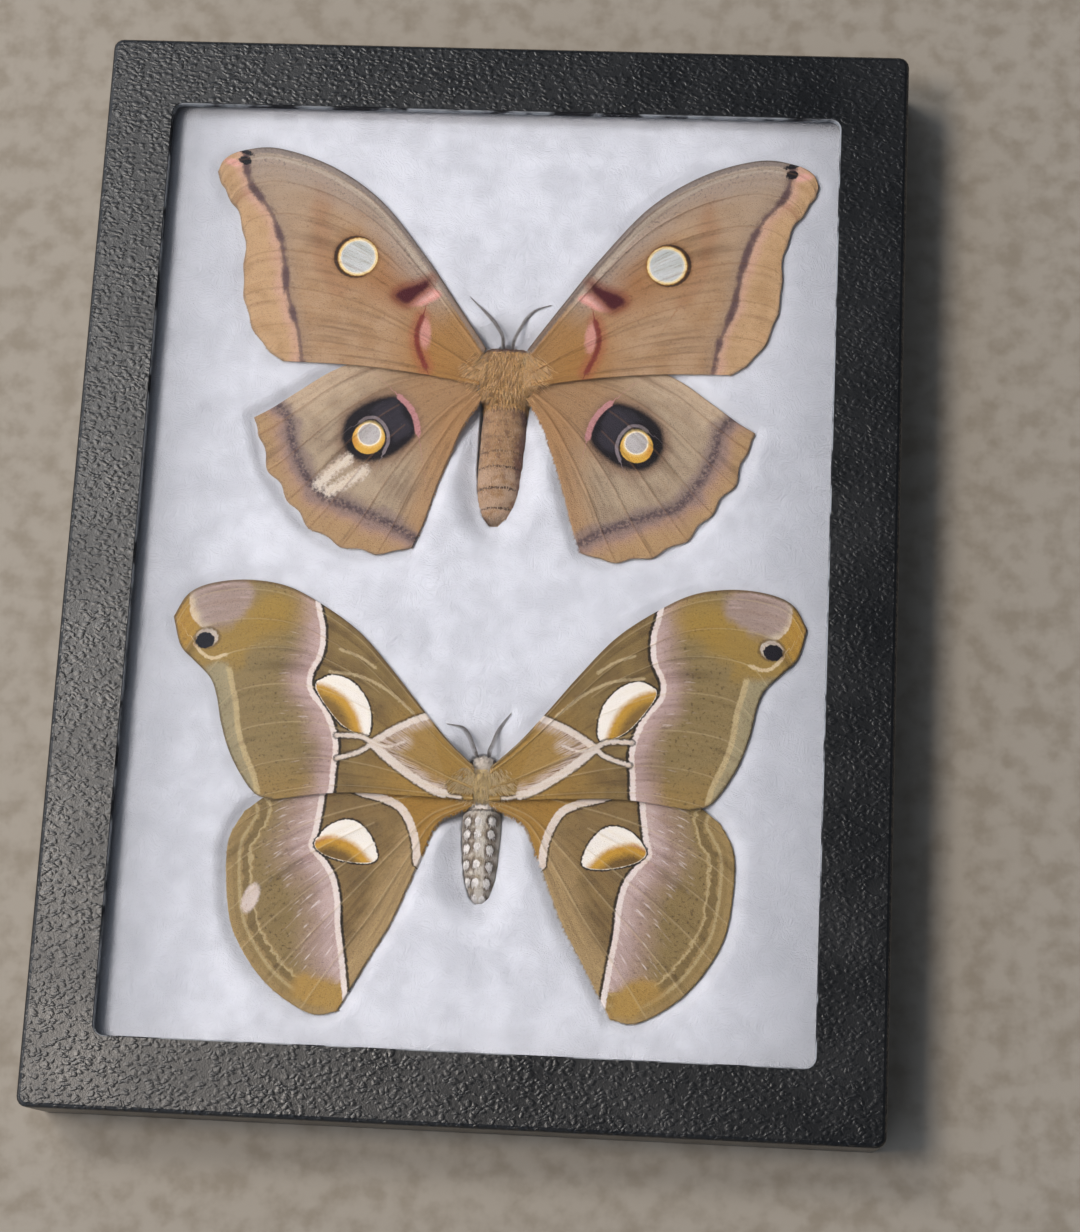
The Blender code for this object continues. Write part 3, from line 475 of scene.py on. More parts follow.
def cynthia_hind_fields(p):
    """Distances in millimetres to each marking of the cynthia hindwing."""
    band = smooth_path([(29.5, 2), (29.7, -2.7), (30.1, -6.4), (30.7, -10.5), (31.2, -12.4), (28.9, -15),
                        (26.9, -18.1),
                        (25.8, -22.6), (25.5, -27.1), (24.6, -32.4), (23.7, -38.2), (23, -43)], 60)
    moon = [(31, -11.4), (28.8, -8.8), (25.7, -7.4), (22.9, -8), (20.5, -10.7), (19.3, -13.9), (20, -15.1),
            (22.8, -15.4),
            (26.3, -14.9), (29.4, -13.9), (31, -12.6)]
    gold_edge = smooth_path([(31, -11.3), (29.2, -10.6), (26.8, -10.6), (23.4, -11.9), (20.3, -15)], 30)
    inner = smooth_path([(24.5, -1.2), (22.3, -2.1), (18.6, -3.1), (15.3, -4.7), (13.5, -7.3),
                         (12.2, -10.9), (11.7, -15)], 40)
    return {"outer_line": distance_to(p, band), "inner_line": distance_to(p, inner),
            "crescent": outside_distance(p, closed_curve(moon)), "gold_edge": distance_to(p, gold_edge),
            "foot_gold": blob(p, (28.6, -39.6), (5.8, 3.2), 24),
            "bare": blob(p, (42.7, -22.6), (1.4, 2.8), 20),
            "base": np.hypot(p[:, 0] - 3, p[:, 1] + 1)}


# %% [markdown]
# A dried wing is a stiff sheet that cups a little between its veins. It is made as a closed plate,
# a quarter of a millimetre thick at the top of the room that its solid holds, with each main vein a
# fine ridge that tapers towards the margin. Extra columns of points follow each vein.

# %% Making a wing
MEMBRANE = 0.24
VEIN_HEIGHT = 0.17
WING_ROWS, WING_COLUMNS = 132, 112


def hills(x, y, size, seed):
    """Smooth noise from -1 to 1 at places in millimetres."""
    return np.array([noise.noise((a / size, b / size, seed)) for a,
                     b in zip(x.ravel(), y.ravel())]).reshape(x.shape)


def wing_sheet(name, wing, side, place, fields_of, material, seed):
    """A closed, veined wing with its markings stored as fields."""
    u = np.linspace(0, 1, WING_ROWS + 1)
    shares = set(np.linspace(0, 1, WING_COLUMNS + 1).round(4))
    for share, _ in wing["veins"]:
        shares |= {round(share + step, 4) for step in (-0.006, -0.003, 0, 0.003, 0.006)}
    v = np.array(sorted(s for s in shares if 0 <= s <= 1))
    grid = patch(wing, u[:, None], v[None, :])
    width = np.linalg.norm(grid[:, -1] - grid[:, 0], axis=-1)
    ridge = np.zeros(grid.shape[:2])
    nearest = np.full(grid.shape[:2], 9.0)
    for share, start in wing["veins"]:
        away = np.abs(v[None, :] - share) * width[:, None]
        reach = 0.34 - 0.2 * u[:, None]
        present = smoothstep(start - 0.02, start + 0.08, u)[:, None] if start else 1.0
        ridge = np.maximum(ridge, present * np.exp(-(away / reach) ** 2) * (1 - 0.45 * u[:, None]))
        nearest = np.minimum(nearest, np.where(u[:, None] >= start - 0.02, away, 9.0))
    flat = grid.reshape(-1, 2)
    spread = place(flat, side)
    wave = hills(spread[:, 0], spread[:, 1], 9.0, seed) * 0.07
    wave = wave + hills(spread[:, 0], spread[:, 1], 3.0, seed + 4) * 0.03
    sideways = np.minimum(v, 1 - v)[None, :] * width[:, None]
    edge = np.minimum(sideways, (1 - u)[:, None] * 50).ravel()
    cup = 0.10 * (1 - np.exp(-np.minimum(nearest.ravel(), 3.0))) * smoothstep(0, 3, edge)
    top = wing["low"] + WING_THICKNESS - 0.12 + wave - cup
    high = top + ridge.ravel() * VEIN_HEIGHT
    low = top - MEMBRANE * (0.35 + 0.65 * smoothstep(0, 1.2, edge))
    points = np.vstack([np.column_stack([spread, high]), np.column_stack([spread, low])])
    rows, columns = grid.shape[:2]
    upper, rim = sheet_faces(rows, columns)
    under = rows * columns
    following = np.roll(rim, -1)
    lower = upper[:, [0, 3, 2, 1]] + under
    wall = np.column_stack([rim, rim + under, following + under, following])
    faces = np.vstack([upper, lower, wall])
    if side < 0:
        faces = faces[:, ::-1]
    faces = faces[:, ::-1] if wing_faces_down(points, faces[0]) else faces
    fields = fields_of(flat)
    margin = (1 - np.repeat(u[:, None], columns, 1)).ravel()
    outer_edge = wing["margins"][1]
    fields.update({"margin": np.minimum(np.abs(distance_to(flat, outer_edge)), margin * 60),
                   "front": np.abs(distance_to(flat, wing["margins"][0])), "vein": nearest.ravel(),
                   "rear": np.abs(distance_to(flat, wing["margins"][2])),
                   "out": np.repeat(u[:, None], columns, 1).ravel(), "back": np.tile(v, rows)})
    if side > 0:
        for worn in {"rubbed", "bare"} & set(fields):
            fields[worn] = fields[worn] + 20.0  # only the left wings are rubbed bare there
    doubled = {label: np.concatenate([values, values]) for label, values in fields.items()}
    made = make_piece(name, points, faces, material, doubled)
    print(name, triangles_in(made), "triangles")
    return made


def wing_faces_down(points, face):
    """Whether an upper face's corners run clockwise seen from above."""
    a, b, c = points[face[0]], points[face[1]], points[face[2]]
    return np.cross(b - a, c - a)[2] < 0


# %% [markdown]
# Real moth scales are tiny dull plates, a tenth of a millimetre or so, so a wing is matt with a soft
# sheen at grazing angles. Their own bump is too fine to show at this size, so it is drawn a little
# coarser, at 0.2 mm. Streaks follow the veins, because scales lie in rows from root to margin.

# %% The shared finish of scaled wings
SCALE_SIZE = 0.2  # coarser than real scales, so that it shows


def field(tree, name):
    """A field stored on the points, in millimetres."""
    return add(tree, "ShaderNodeAttribute", attribute_name=name).outputs["Fac"]


def near(tree, value, reach, soft, ragged=None, strength=1.0):
    """A mask that is full where a distance, either side, is under reach."""
    return mask_of(tree, unsigned(tree, value), reach + soft, reach, ragged, strength)


def between(tree, value, start, end, ragged=None, strength=1.0):
    """A mask between two signed distances, soft at both."""
    first = mask_of(tree, value, start - 0.15, start + 0.15, ragged)
    return both(tree, first, mask_of(tree, value, end + 0.15, end - 0.15, ragged, strength))


def lay_all(tree, colour, layers):
    """Colours laid one after another, each with its mask."""
    for code, mask in layers:
        colour = lay_over(tree, colour, paint(code), mask)
    return colour


def scaled_wing(name, lay_markings):
    """A matt finish of overlapping scales, with a function that lays its colours."""
    material, tree, shader, place = new_finish(name, 0.8, Sheen_Weight=0.06, Sheen_Roughness=0.5,
                                               Specular_IOR_Level=0.2)
    out, back = field(tree, "out"), field(tree, "back")
    rows = add(tree, "ShaderNodeCombineXYZ", {"X": out, "Y": back}).outputs[0]
    grains = {"streaks": grain(tree, rows, 0.03, 1.0, 2.0, stretch=(0.3, 3.2, 1.0)),
              "fold_light_and_shade": grain(tree, rows, 0.07, 1.0, 2.0, stretch=(0.16, 1.3, 1.0)),
              "rubs": grain(tree, rows, 0.03, 1.0, 2.0, stretch=(0.45, 2.6, 1.0)),
              "dust": grain(tree, place, SCALE_SIZE, 1.0, 1.0), "specks": grain(tree, place, 0.55, 1.0, 2.0),
              "clouds": grain(tree, place, 4.5, 1.0, 2.0), "ragged": grain(tree, place, 0.42, 0.16, 2.0)}
    colour = lay_markings(tree, place, grains)
    # painted light and shade: the fold bands lighten and darken the wing in stripes along the veins, as light
    # and shade fall on shallow folds
    for cloth, start, full, code, strength in (
            ("fold_light_and_shade", 0.0, 1.1, "#a89f94", 0.55), ("fold_light_and_shade", 0.0, -1.1, "#665b50", 0.5),
            ("streaks", 0.1, 1.2, "#b5ada2", 0.4),
            ("dust", 0.1, 1.2, "#3e3630", 0.42), ("dust", -0.1, -1.2, "#c9c2b8", 0.32),
            ("specks", 0.2, 1.1, "#5a5048", 0.3)):
        colour = lay_over(tree, colour, paint(code), mask_of(tree, grains[cloth], start, full,
                                                             strength=strength), "OVERLAY")
    tree.links.new(colour, shader.inputs["Base Color"])
    emboss(tree, shader, grains["dust"], 0.04)
    return material


# %% [markdown]
# The polyphemus forewing is buff, greyer along its front edge and towards its tip, ochre near the
# body. A round window of bare membrane, ringed in cream and then dark brown, sits in its middle.
# A purple-brown line with a pink outer edge divides off the yellow-tan margin, and a maroon and pink
# crescent crosses it near the body.

# %% Polyphemus forewing colours
def forewing_colours(tree, place, grains):
    """The forewing's colours, laid from the ground up."""
    ragged, clouds, specks = grains["ragged"], grains["clouds"], grains["specks"]
    line, crescent, eye, rim = (field(tree, name) for name in ("outer_line", "crescent", "eye", "eye_rim"))
    front, margin, base, maroon = (field(tree, name) for name in ("front", "margin", "base", "maroon"))
    fine = add(tree, "ShaderNodeMath", {0: ragged, 1: 0.45}, operation="MULTIPLY").outputs[0]
    ground = lay_over(tree, paint("#b99a78"), paint("#ab8964"), mask_of(tree, clouds, -0.6, 0.9))
    inland = mask_of(tree, line, 0.2, -0.2, ragged)
    colour = lay_all(tree, ground, [
        ("#ae9a83", mask_of(tree, base, 34, 56, clouds, 0.8)),
        ("#a0704a", near(tree, field(tree, "rust"), 0.3, 2.8, clouds, 0.45)),
        ("#a07046", mask_of(tree, field(tree, "behind_eye"), 4.5, -3.5, clouds, 0.8)),
        ("#a97841", mask_of(tree, base, 20, 8, clouds, 0.8)),
        ("#a98258", mask_of(tree, eye, 7.5, 4.4, clouds, 0.5)),
        ("#a9998a", mask_of(tree, front, 9.0, 2.5, clouds, 0.85)),
        ("#7d746e", both(tree, mask_of(tree, front, 6.0, 1.5),
                         mask_of(tree, specks, 0.1, 0.8, strength=0.55))),
        ("#c9bda9", between(tree, front, 1.3, 2.4, ragged, 0.5)),
        ("#a57b44", mask_of(tree, base, 17, 7, clouds, 0.9)),
        ("#837a73", mask_of(tree, front, 1.4, 0.9, ragged, 0.75)),
        ("#574b45", mask_of(tree, front, 0.5, 0.1, ragged, 0.6)),
        ("#c5a47b", mask_of(tree, line, -0.2, 0.2, ragged)),
        ("#b9966c", both(tree, mask_of(tree, line, 0.3, 4.0), mask_of(tree, clouds, -0.4, 0.8))),
        ("#d0a898", both(tree, mask_of(tree, line, -0.1, 0.6), mask_of(tree, line, 3.0, 0.7, clouds, 0.6))),
        ("#9a8672", both(tree, inland, mask_of(tree, line, -3.2, -0.6, ragged, 0.45))),
        ("#6f5855", near(tree, line, 0.12, 0.5, ragged, 0.8)),
        ("#5f4a4a", both(tree, near(tree, line, 0.4, 0.8, ragged, 0.9), mask_of(tree, clouds, 0.5, -0.4))),
        ("#8f7c68", mask_of(tree, margin, 0.7, 0.15, ragged, 0.7)),
        ("#a5533f", near(tree, crescent, 0.9, 1.5, ragged, 0.4)),
        ("#d39a8e", mask_of(tree, field(tree, "lens"), 0.45, -0.45, ragged, 0.9)),
        ("#7a302a", near(tree, crescent, 0.22, 0.6, ragged, 0.9)),
        ("#dfa498", mask_of(tree, field(tree, "blush"), 0.4, -0.5, ragged, 0.95)),
        ("#ecc0b4", mask_of(tree, field(tree, "blush"), -0.4, -1.0, ragged, 0.7)),
        ("#7f4530", mask_of(tree, maroon, 2.2, 0.2, ragged, 0.75)),
        ("#4d1a1f", mask_of(tree, maroon, 0.5, -0.5, ragged)),
        ("#e4b0a4", mask_of(tree, field(tree, "apex_pink"), 0.3, -0.5, ragged, 0.8)),
        ("#141113", mask_of(tree, field(tree, "spot_high"), 0.2, -0.05, ragged)),
        ("#141113", mask_of(tree, field(tree, "spot_low"), 0.2, -0.05, ragged)),
        ("#744a26", mask_of(tree, rim, 5.3, 4.2, ragged, 0.5)),
        ("#3a2718", mask_of(tree, rim, 4.55, 4.25, fine, 0.95)),
        ("#a8792e", mask_of(tree, eye, 4.15, 4.0, fine)),
        ("#f0dba2", mask_of(tree, eye, 3.98, 3.8, fine)),
        ("#ece6d6", mask_of(tree, eye, 3.65, 3.4, fine, 0.9)),
        ("#ced2d0", mask_of(tree, eye, 3.4, 3.2, fine)),
        ("#c3c5bf", both(tree, mask_of(tree, eye, 3.0, 2.8), mask_of(tree, grains["streaks"], -0.1, 0.6)))])
    return lay_over(tree, colour, paint("#86603e"), mask_of(tree, field(tree, "vein"), 0.26, 0.0,
                                                            strength=0.26))


forewing_finish = scaled_wing("buff_forewing_scales", forewing_colours)


# %% Polyphemus hindwing colours
def hindwing_colours(tree, place, grains):
    """The hindwing's colours, laid from the ground up."""
    ragged, clouds, specks = grains["ragged"], grains["clouds"], grains["specks"]
    line, ring, eye, dark = (field(tree, name) for name in ("outer_line", "ring", "eye", "patch"))
    front, margin, base, rear = (field(tree, name) for name in ("front", "margin", "base", "rear"))
    fine = add(tree, "ShaderNodeMath", {0: ragged, 1: 0.45}, operation="MULTIPLY").outputs[0]
    ground = lay_over(tree, paint("#b5a287"), paint("#a38f77"), mask_of(tree, clouds, -0.6, 0.9))
    smudge = near(tree, line, 1.1, 1.8, clouds, 0.75)
    colour = lay_all(tree, ground, [
        ("#c8b295", mask_of(tree, front, 8, 1.5, clouds, 0.8)),
        ("#a58058", mask_of(tree, base, 25, 9, clouds, 0.85)),
        ("#ae8558", mask_of(tree, rear, 7, 1, clouds, 0.7)),
        ("#8f6b45", both(tree, mask_of(tree, base, 30, 12),
                         mask_of(tree, grains["rubs"], 0.4, 1.1, strength=0.4))),
        ("#b3936a", mask_of(tree, line, -0.2, 0.6, ragged)),
        ("#b08f80", both(tree, mask_of(tree, line, -0.4, 0.6), mask_of(tree, line, 5.0, 1.2, clouds, 0.75))),
        ("#8a7771", smudge),
        ("#544648", both(tree, near(tree, line, 0.2, 1.3, ragged, 0.9), mask_of(tree, specks, -1.1, 0.5))),
        ("#8f7c68", mask_of(tree, margin, 0.7, 0.15, ragged, 0.6)),
        ("#7e604c", mask_of(tree, dark, 2.6, 0.2, ragged, 0.65)),
        ("#1c1618", mask_of(tree, dark, 0.8, -0.5, ragged)),
        ("#38353d", mask_of(tree, field(tree, "inner_grey"), 0.7, -1.0, clouds, 0.85)),
        ("#c48d8d", near(tree, field(tree, "pink_arc"), 0.42, 0.3, ragged, 0.95)),
        ("#1c1618", mask_of(tree, ring, 4.6, 4.0, ragged, 0.8)),
        ("#8d8387", near(tree, field(tree, "thin_arc"), 0.22, 0.2, fine, 0.9)),
        ("#dcae48", mask_of(tree, ring, 3.3, 3.1, fine)),
        ("#f0d68c", mask_of(tree, eye, 3.1, 2.2, fine, 0.85)),
        ("#f5ecd6", mask_of(tree, eye, 2.45, 2.25, fine)),
        ("#c2bfbd", mask_of(tree, eye, 2.2, 2.0, fine)),
        ("#e2d8c8", mask_of(tree, field(tree, "rubbed"), 1.7, 0.4, both(tree, specks, 0.5), 0.9))])
    return lay_over(tree, colour, paint("#86603e"), mask_of(tree, field(tree, "vein"), 0.28, 0.0,
                                                            strength=0.3))


hindwing_finish = scaled_wing("buff_hindwing_scales", hindwing_colours)


# %% [markdown]
# The cynthia moth is olive with mauve beyond a white line that runs down both wings, and carries a
# white and gold crescent on each wing and a small black eye at each forewing's tip.

# %% Cynthia forewing colours
def cynthia_fore_colours(tree, place, grains):
    """The cynthia forewing's colours, laid from the ground up."""
    ragged, clouds, specks = grains["ragged"], grains["clouds"], grains["specks"]
    line, margin, base, front = (field(tree, name) for name in ("outer_line", "margin", "base", "front"))
    crescent, gold, branch = (field(tree, name) for name in ("crescent", "gold_edge", "branch"))
    submargin, ahead, apex = (field(tree, name) for name in ("submargin", "ahead", "apex_grey"))
    ground = lay_over(tree, paint("#8a7448"), paint("#78633e"), mask_of(tree, clouds, -0.6, 0.8))
    beyond = mask_of(tree, line, -0.1, 0.1, ragged)
    margin_zone = both(tree, mask_of(tree, submargin, -0.1, 0.2, ragged),
                       mask_of(tree, ahead, 22.5, 20.5, clouds))
    colour = lay_all(tree, ground, [
        ("#a3813f", mask_of(tree, base, 24, 9, clouds, 0.85)),
        ("#8f7c52", beyond),
        ("#9c8048", both(tree, beyond, mask_of(tree, ahead, 6, -2, clouds, 0.7))),
        ("#5f4d30", both(tree, beyond, mask_of(tree, specks, 0.25, 0.9, strength=0.5))),
        ("#b79c94", both(tree, beyond, mask_of(tree, line, 7.4, 1.2, clouds, 0.95))),
        ("#cbb3ad", both(tree, beyond, mask_of(tree, line, 4.5, 0.8, ragged, 0.6))),
        ("#d6c8c2", both(tree, both(tree, beyond, mask_of(tree, line, 11.0, 5.0)),
                         mask_of(tree, grains["rubs"], 0.45, 1.0, strength=0.55))),
        ("#a5873f", mask_of(tree, field(tree, "apex_gold"), 2.4, -2.6, clouds, 0.9)),
        ("#a08444", both(tree, mask_of(tree, ahead, 19.0, 23.5, clouds),
                         mask_of(tree, line, 12.5, 14.5, clouds, 0.9))),
        ("#b08a3c", mask_of(tree, field(tree, "tip_gold"), 0.8, -1.0, ragged)),
        ("#e2d5bb", both(tree, mask_of(tree, apex, 0.5, 0.2, ragged),
                         mask_of(tree, field(tree, "tip_gold"), 3.2, 1.2, ragged, 0.8))),
        ("#a69288", mask_of(tree, apex, 0.9, -1.6, clouds, 0.95)),
        ("#bda79f", both(tree, mask_of(tree, apex, 0.0, -1.5),
                         mask_of(tree, grains["rubs"], 0.0, 0.9, strength=0.7))),
        ("#9d9270", margin_zone),
        ("#ab9f7c", both(tree, margin_zone, mask_of(tree, submargin, 2.2, 0.6, clouds, 0.6))),
        ("#c4b184", both(tree, near(tree, submargin, 0.36, 0.35, ragged, 0.9),
                         mask_of(tree, ahead, 21.8, 20.8))),
        ("#5f5138", mask_of(tree, margin, 0.55, 0.15, ragged, 0.75)),
        ("#6a5436", mask_of(tree, front, 0.7, 0.25, ragged, 0.75)),
        ("#e9dfd8", between(tree, line, 0.0, 1.05, ragged)),
        ("#1f1913", between(tree, line, -0.55, 0.0, ragged, 0.92)),
        ("#1f1913", mask_of(tree, crescent, 0.55, 0.3, ragged, 0.95)),
        ("#f6f1e6", mask_of(tree, crescent, 0.2, 0.0, ragged)),
        ("#c69a3a", both(tree, mask_of(tree, crescent, 0.1, -0.1), mask_of(tree, gold, -0.7, 0.8, ragged))),
        ("#7c6236", both(tree, mask_of(tree, crescent, 0.1, -0.1),
                         mask_of(tree, gold, 1.0, 2.9, ragged, 0.9))),
        ("#cbb990", near(tree, field(tree, "pale_vein"), 0.16, 0.25, ragged, 0.7)),
        ("#2a2219", mask_of(tree, branch, 0.6, 0.2, ragged, 0.75)),
        ("#a3844a", mask_of(tree, field(tree, "fan"), 0.2, -0.2, ragged)),
        ("#5f4436", both(tree, mask_of(tree, field(tree, "fan"), 0.3, -0.3, ragged),
                         mask_of(tree, branch, 0.9, 0.2, clouds, 0.6))),
        ("#cdbcae", both(tree, mask_of(tree, field(tree, "fan"), 0.0, -0.4),
                         both(tree, mask_of(tree, branch, 2.2, 0.3),
                              mask_of(tree, grains["rubs"], -0.7, 0.5)))),
        ("#dfd5ca", mask_of(tree, branch, 0.25, -0.15, ragged)),
        ("#dccba6", near(tree, field(tree, "eye_foot"), 0.22, 0.25, ragged, 0.85)),
        ("#6a5436", mask_of(tree, field(tree, "eye_cap"), 0.6, 0.25, ragged, 0.7)),
        ("#cfc6b8", mask_of(tree, field(tree, "eye_cap"), 0.15, -0.15, ragged, 0.85)),
        ("#17131a", mask_of(tree, field(tree, "eye"), 0.1, -0.1, ragged))])
    return lay_over(tree, colour, paint("#cdbb92"), mask_of(tree, field(tree, "vein"), 0.26, 0.0,
                                                            strength=0.3))


# %% Cynthia hindwing colours
def cynthia_hind_colours(tree, place, grains):
    """The cynthia hindwing's colours, laid from the ground up."""
    ragged, clouds, specks, rubs = (grains[name] for name in ("ragged", "clouds", "specks", "rubs"))
    line, inner, margin, base = (field(tree, name) for name in ("outer_line", "inner_line", "margin", "base"))
    crescent, gold, rear = (field(tree, name) for name in ("crescent", "gold_edge", "rear"))
    wavy = add(tree, "ShaderNodeMath", {0: grain(tree, place, 1.6, 0.5, 2.0), 1: margin},
               operation="ADD").outputs[0]
    ground = lay_over(tree, paint("#8b7349"), paint("#7c6743"), mask_of(tree, clouds, -0.6, 0.8))
    beyond = mask_of(tree, line, -0.1, 0.1, ragged)
    in_moon = mask_of(tree, crescent, 0.1, -0.1)
    colour = lay_all(tree, ground, [
        ("#b0966a", mask_of(tree, rear, 7.5, 1.5, clouds, 0.85)),
        ("#c2a878", both(tree, mask_of(tree, rear, 7.5, 2.0), mask_of(tree, rubs, 0.2, 1.0, strength=0.6))),
        ("#a37c36", mask_of(tree, inner, -0.4, -0.9, ragged, 0.9)),
        ("#8d794e", beyond),
        ("#5c4b2e", both(tree, beyond, mask_of(tree, specks, 0.2, 0.9, strength=0.5))),
        ("#b59c93", both(tree, beyond, mask_of(tree, line, 10.5, 2.0, clouds, 0.95))),
        ("#d3bfba", both(tree, beyond, mask_of(tree, line, 5.0, 1.0, clouds, 0.6))),
        ("#e0d6d2", both(tree, both(tree, beyond, mask_of(tree, line, 12.0, 6.0)),
                         mask_of(tree, rubs, 0.35, 0.9, strength=0.75))),
        ("#a08858", mask_of(tree, wavy, 5.4, 5.0, ragged, 0.9)),
        ("#bcab80", between(tree, wavy, 4.5, 4.95, ragged, 0.8)),
        ("#74623c", between(tree, wavy, 3.1, 4.4, ragged, 0.75)),
        ("#b9a87c", between(tree, margin, 2.2, 2.75, ragged, 0.75)),
        ("#887348", between(tree, margin, 1.2, 2.0, ragged, 0.5)),
        ("#ae8d4c", mask_of(tree, field(tree, "foot_gold"), 1.0, -1.4, clouds)),
        ("#ddd0c8", mask_of(tree, field(tree, "bare"), 0.4, -0.3, ragged, 0.9)),
        ("#e9dfd8", between(tree, line, 0.0, 1.1, ragged)),
        ("#1f1913", between(tree, line, -0.5, 0.0, ragged, 0.92)),
        ("#1f1913", mask_of(tree, crescent, 0.55, 0.3, ragged, 0.95)),
        ("#f6f1e6", mask_of(tree, crescent, 0.2, 0.0, ragged)),
        ("#c99b38", both(tree, in_moon, mask_of(tree, gold, -0.7, 0.8, ragged))),
        ("#6c5530", both(tree, in_moon, mask_of(tree, gold, 1.1, 3.1, ragged, 0.92))),
        ("#2a2219", between(tree, inner, 0.5, 1.1, ragged, 0.8)),
        ("#e2d6ca", near(tree, inner, 0.6, 0.25, ragged))])
    return lay_over(tree, colour, paint("#cdbb92"), mask_of(tree, field(tree, "vein"), 0.26, 0.0,
                                                            strength=0.3))


cynthia_fore_finish = scaled_wing("olive_forewing_scales", cynthia_fore_colours)
cynthia_hind_finish = scaled_wing("olive_hindwing_scales", cynthia_hind_colours)

# %% All eight wings
for word, side in (("left", -1), ("right", 1)):
    fore = wing_sheet("scaled_forewing_" + word, forewing, side, on_moth, forewing_fields, forewing_finish,
                      2.5 + side)
    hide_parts("forewing_" + word)
    hind = wing_sheet("scaled_hindwing_" + word, hindwing, side, on_moth, hindwing_fields, hindwing_finish,
                      7.5 + side)
    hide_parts("hindwing_" + word)
    wing_sheet("cynthia_forewing_" + word, cynthia_forewing, side, on_cynthia, cynthia_fore_fields,
               cynthia_fore_finish, 12.5 + side)
    wing_sheet("cynthia_hindwing_" + word, cynthia_hindwing, side, on_cynthia, cynthia_hind_fields,
               cynthia_hind_finish, 17.5 + side)

# %% [markdown]
# The case is greyboard covered in embossed black paper, the kind sold for specimen cases. Its grain is
# long leathery pebbles with creases between them, a millimetre or two long. The paper is nearly black,
# with a satin gloss that shows in the skylight. The pane is plain window glass, and the model stays
# see-through when it is exported, because shadow rays pass straight through it.

# %% The black paper and the pane
paper, tree, shader, place = new_finish("embossed_black_paper", 0.34, Specular_IOR_Level=0.9)
warp = add(tree, "ShaderNodeTexNoise", {"Vector": place, "Scale": 0.5, "Detail": 1.0})
bent = add(tree, "ShaderNodeVectorMath", {0: warp.outputs[1], 1: (1.6, 1.6, 1.6), 2: place},
           operation="MULTIPLY_ADD")
stretched = add(tree, "ShaderNodeVectorMath", {0: bent.outputs[0], 1: (0.62, 1.15, 1.0)},
                operation="MULTIPLY")
pebbles = add(tree, "ShaderNodeTexVoronoi", {"Vector": stretched.outputs[0], "Scale": 1.15}, feature="F1")
creases = add(tree, "ShaderNodeMapRange", {"Value": pebbles.outputs["Distance"], "From Min": 0.15,
                                           "From Max": 0.62,
                                           "To Min": 1.0, "To Max": 0.0}, interpolation_type="SMOOTHSTEP")
fibres = grain(tree, place, 0.3, 0.12, 1.0)
height = add(tree, "ShaderNodeMath", {0: creases.outputs[0], 1: fibres}, operation="ADD").outputs[0]
emboss(tree, shader, height, 0.055)
wear = grain(tree, place, 14.0, 1.0, 2.0)
tone = lay_over(tree, paint("#0b0b0c"), paint("#131315"), mask_of(tree, wear, -0.3, 0.8))
# painted shade: the creases between the pebbles are darkened
tone = lay_over(tree, tone, paint("#0b0b0c"), mask_of(tree, creases.outputs[0], 0.35, 0.0, strength=0.7))
tree.links.new(tone, shader.inputs["Base Color"])
rough = add(tree, "ShaderNodeMapRange", {"Value": wear, "From Min": -1.0, "From Max": 1.0, "To Min": 0.27,
                                         "To Max": 0.4})
tree.links.new(rough.outputs[0], shader.inputs["Roughness"])

pane, tree, shader, place = new_finish("window_glass", 0.015, Transmission_Weight=1.0, IOR=1.5)
shader.inputs["Base Color"].default_value = paint("#fafbff")
clear = add(tree, "ShaderNodeBsdfTransparent", {"Color": paint("#fafbff")})
ray = add(tree, "ShaderNodeLightPath").outputs["Is Shadow Ray"]
seen = add(tree, "ShaderNodeMixShader", {0: ray, 1: shader.outputs[0], 2: clear.outputs[0]})
tree.links.new(seen.outputs[0], tree.nodes["Material Output"].inputs["Surface"])


def finish_node(name, material):
    """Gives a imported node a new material."""
    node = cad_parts[name]
    node.data.materials.clear()
    node.data.materials.append(material)


for name in ("case_lid", "case_tray"):
    finish_node(name, paper)
finish_node("case_glass", pane)

# %% The paper's cut edge round the window
cut_edge, tree, shader, place = new_finish("worn_white_paper_edge", 0.85)
scuffs = grain(tree, place, 7.0, 1.0, 6.0)
tone = lay_over(tree, paint("#26262a"), paint("#b9bcc0"), mask_of(tree, scuffs, -0.3, 0.25))
tree.links.new(tone, shader.inputs["Base Color"])
LID_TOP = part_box("case_lid")[1].z / MM
GLASS_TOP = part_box("case_glass")[1].z / MM
WINDOW_HALF, WINDOW_ROUND, EDGE_THICK = (66.5, 92.5), 2.2, 0.22


def window_ring(inset, z):
    """Points round the window, a little inside its cut board."""
    ring = []
    for quarter, (sx, sy) in enumerate(((1, 1), (-1, 1), (-1, -1), (1, -1))):
        for step in range(7):
            angle = math.radians(90 * quarter + 15 * step)
            ring.append((sx * (WINDOW_HALF[0] - WINDOW_ROUND) + (WINDOW_ROUND - inset) * math.cos(angle),
                         sy * (WINDOW_HALF[1] - WINDOW_ROUND) + (WINDOW_ROUND - inset) * math.sin(angle), z))
    return ring


levels = [window_ring(0.02, GLASS_TOP + 0.45), window_ring(0.02, LID_TOP - 0.25),
          window_ring(EDGE_THICK, LID_TOP - 0.4), window_ring(EDGE_THICK, GLASS_TOP + 0.45)]
count = len(levels[0])
faces = [(level * count + k, level * count + (k + 1) % count, (level + 1) % 4 * count + (k + 1) % count,
          (level + 1) % 4 * count + k) for level in range(4) for k in range(count)]
paper_edge = make_piece("window_paper_edge", np.vstack(levels), faces, cut_edge, smooth=False)

# %% [markdown]
# Cotton batting is a springy web of fine white fibres. The pane presses it flat, it swells up round the
# wings and it is parted where the bodies sink into it. It is one closed, padded piece: a sheet of
# heights over a grid, shaped by each place's distance to the wings and bodies, closed by its sides.

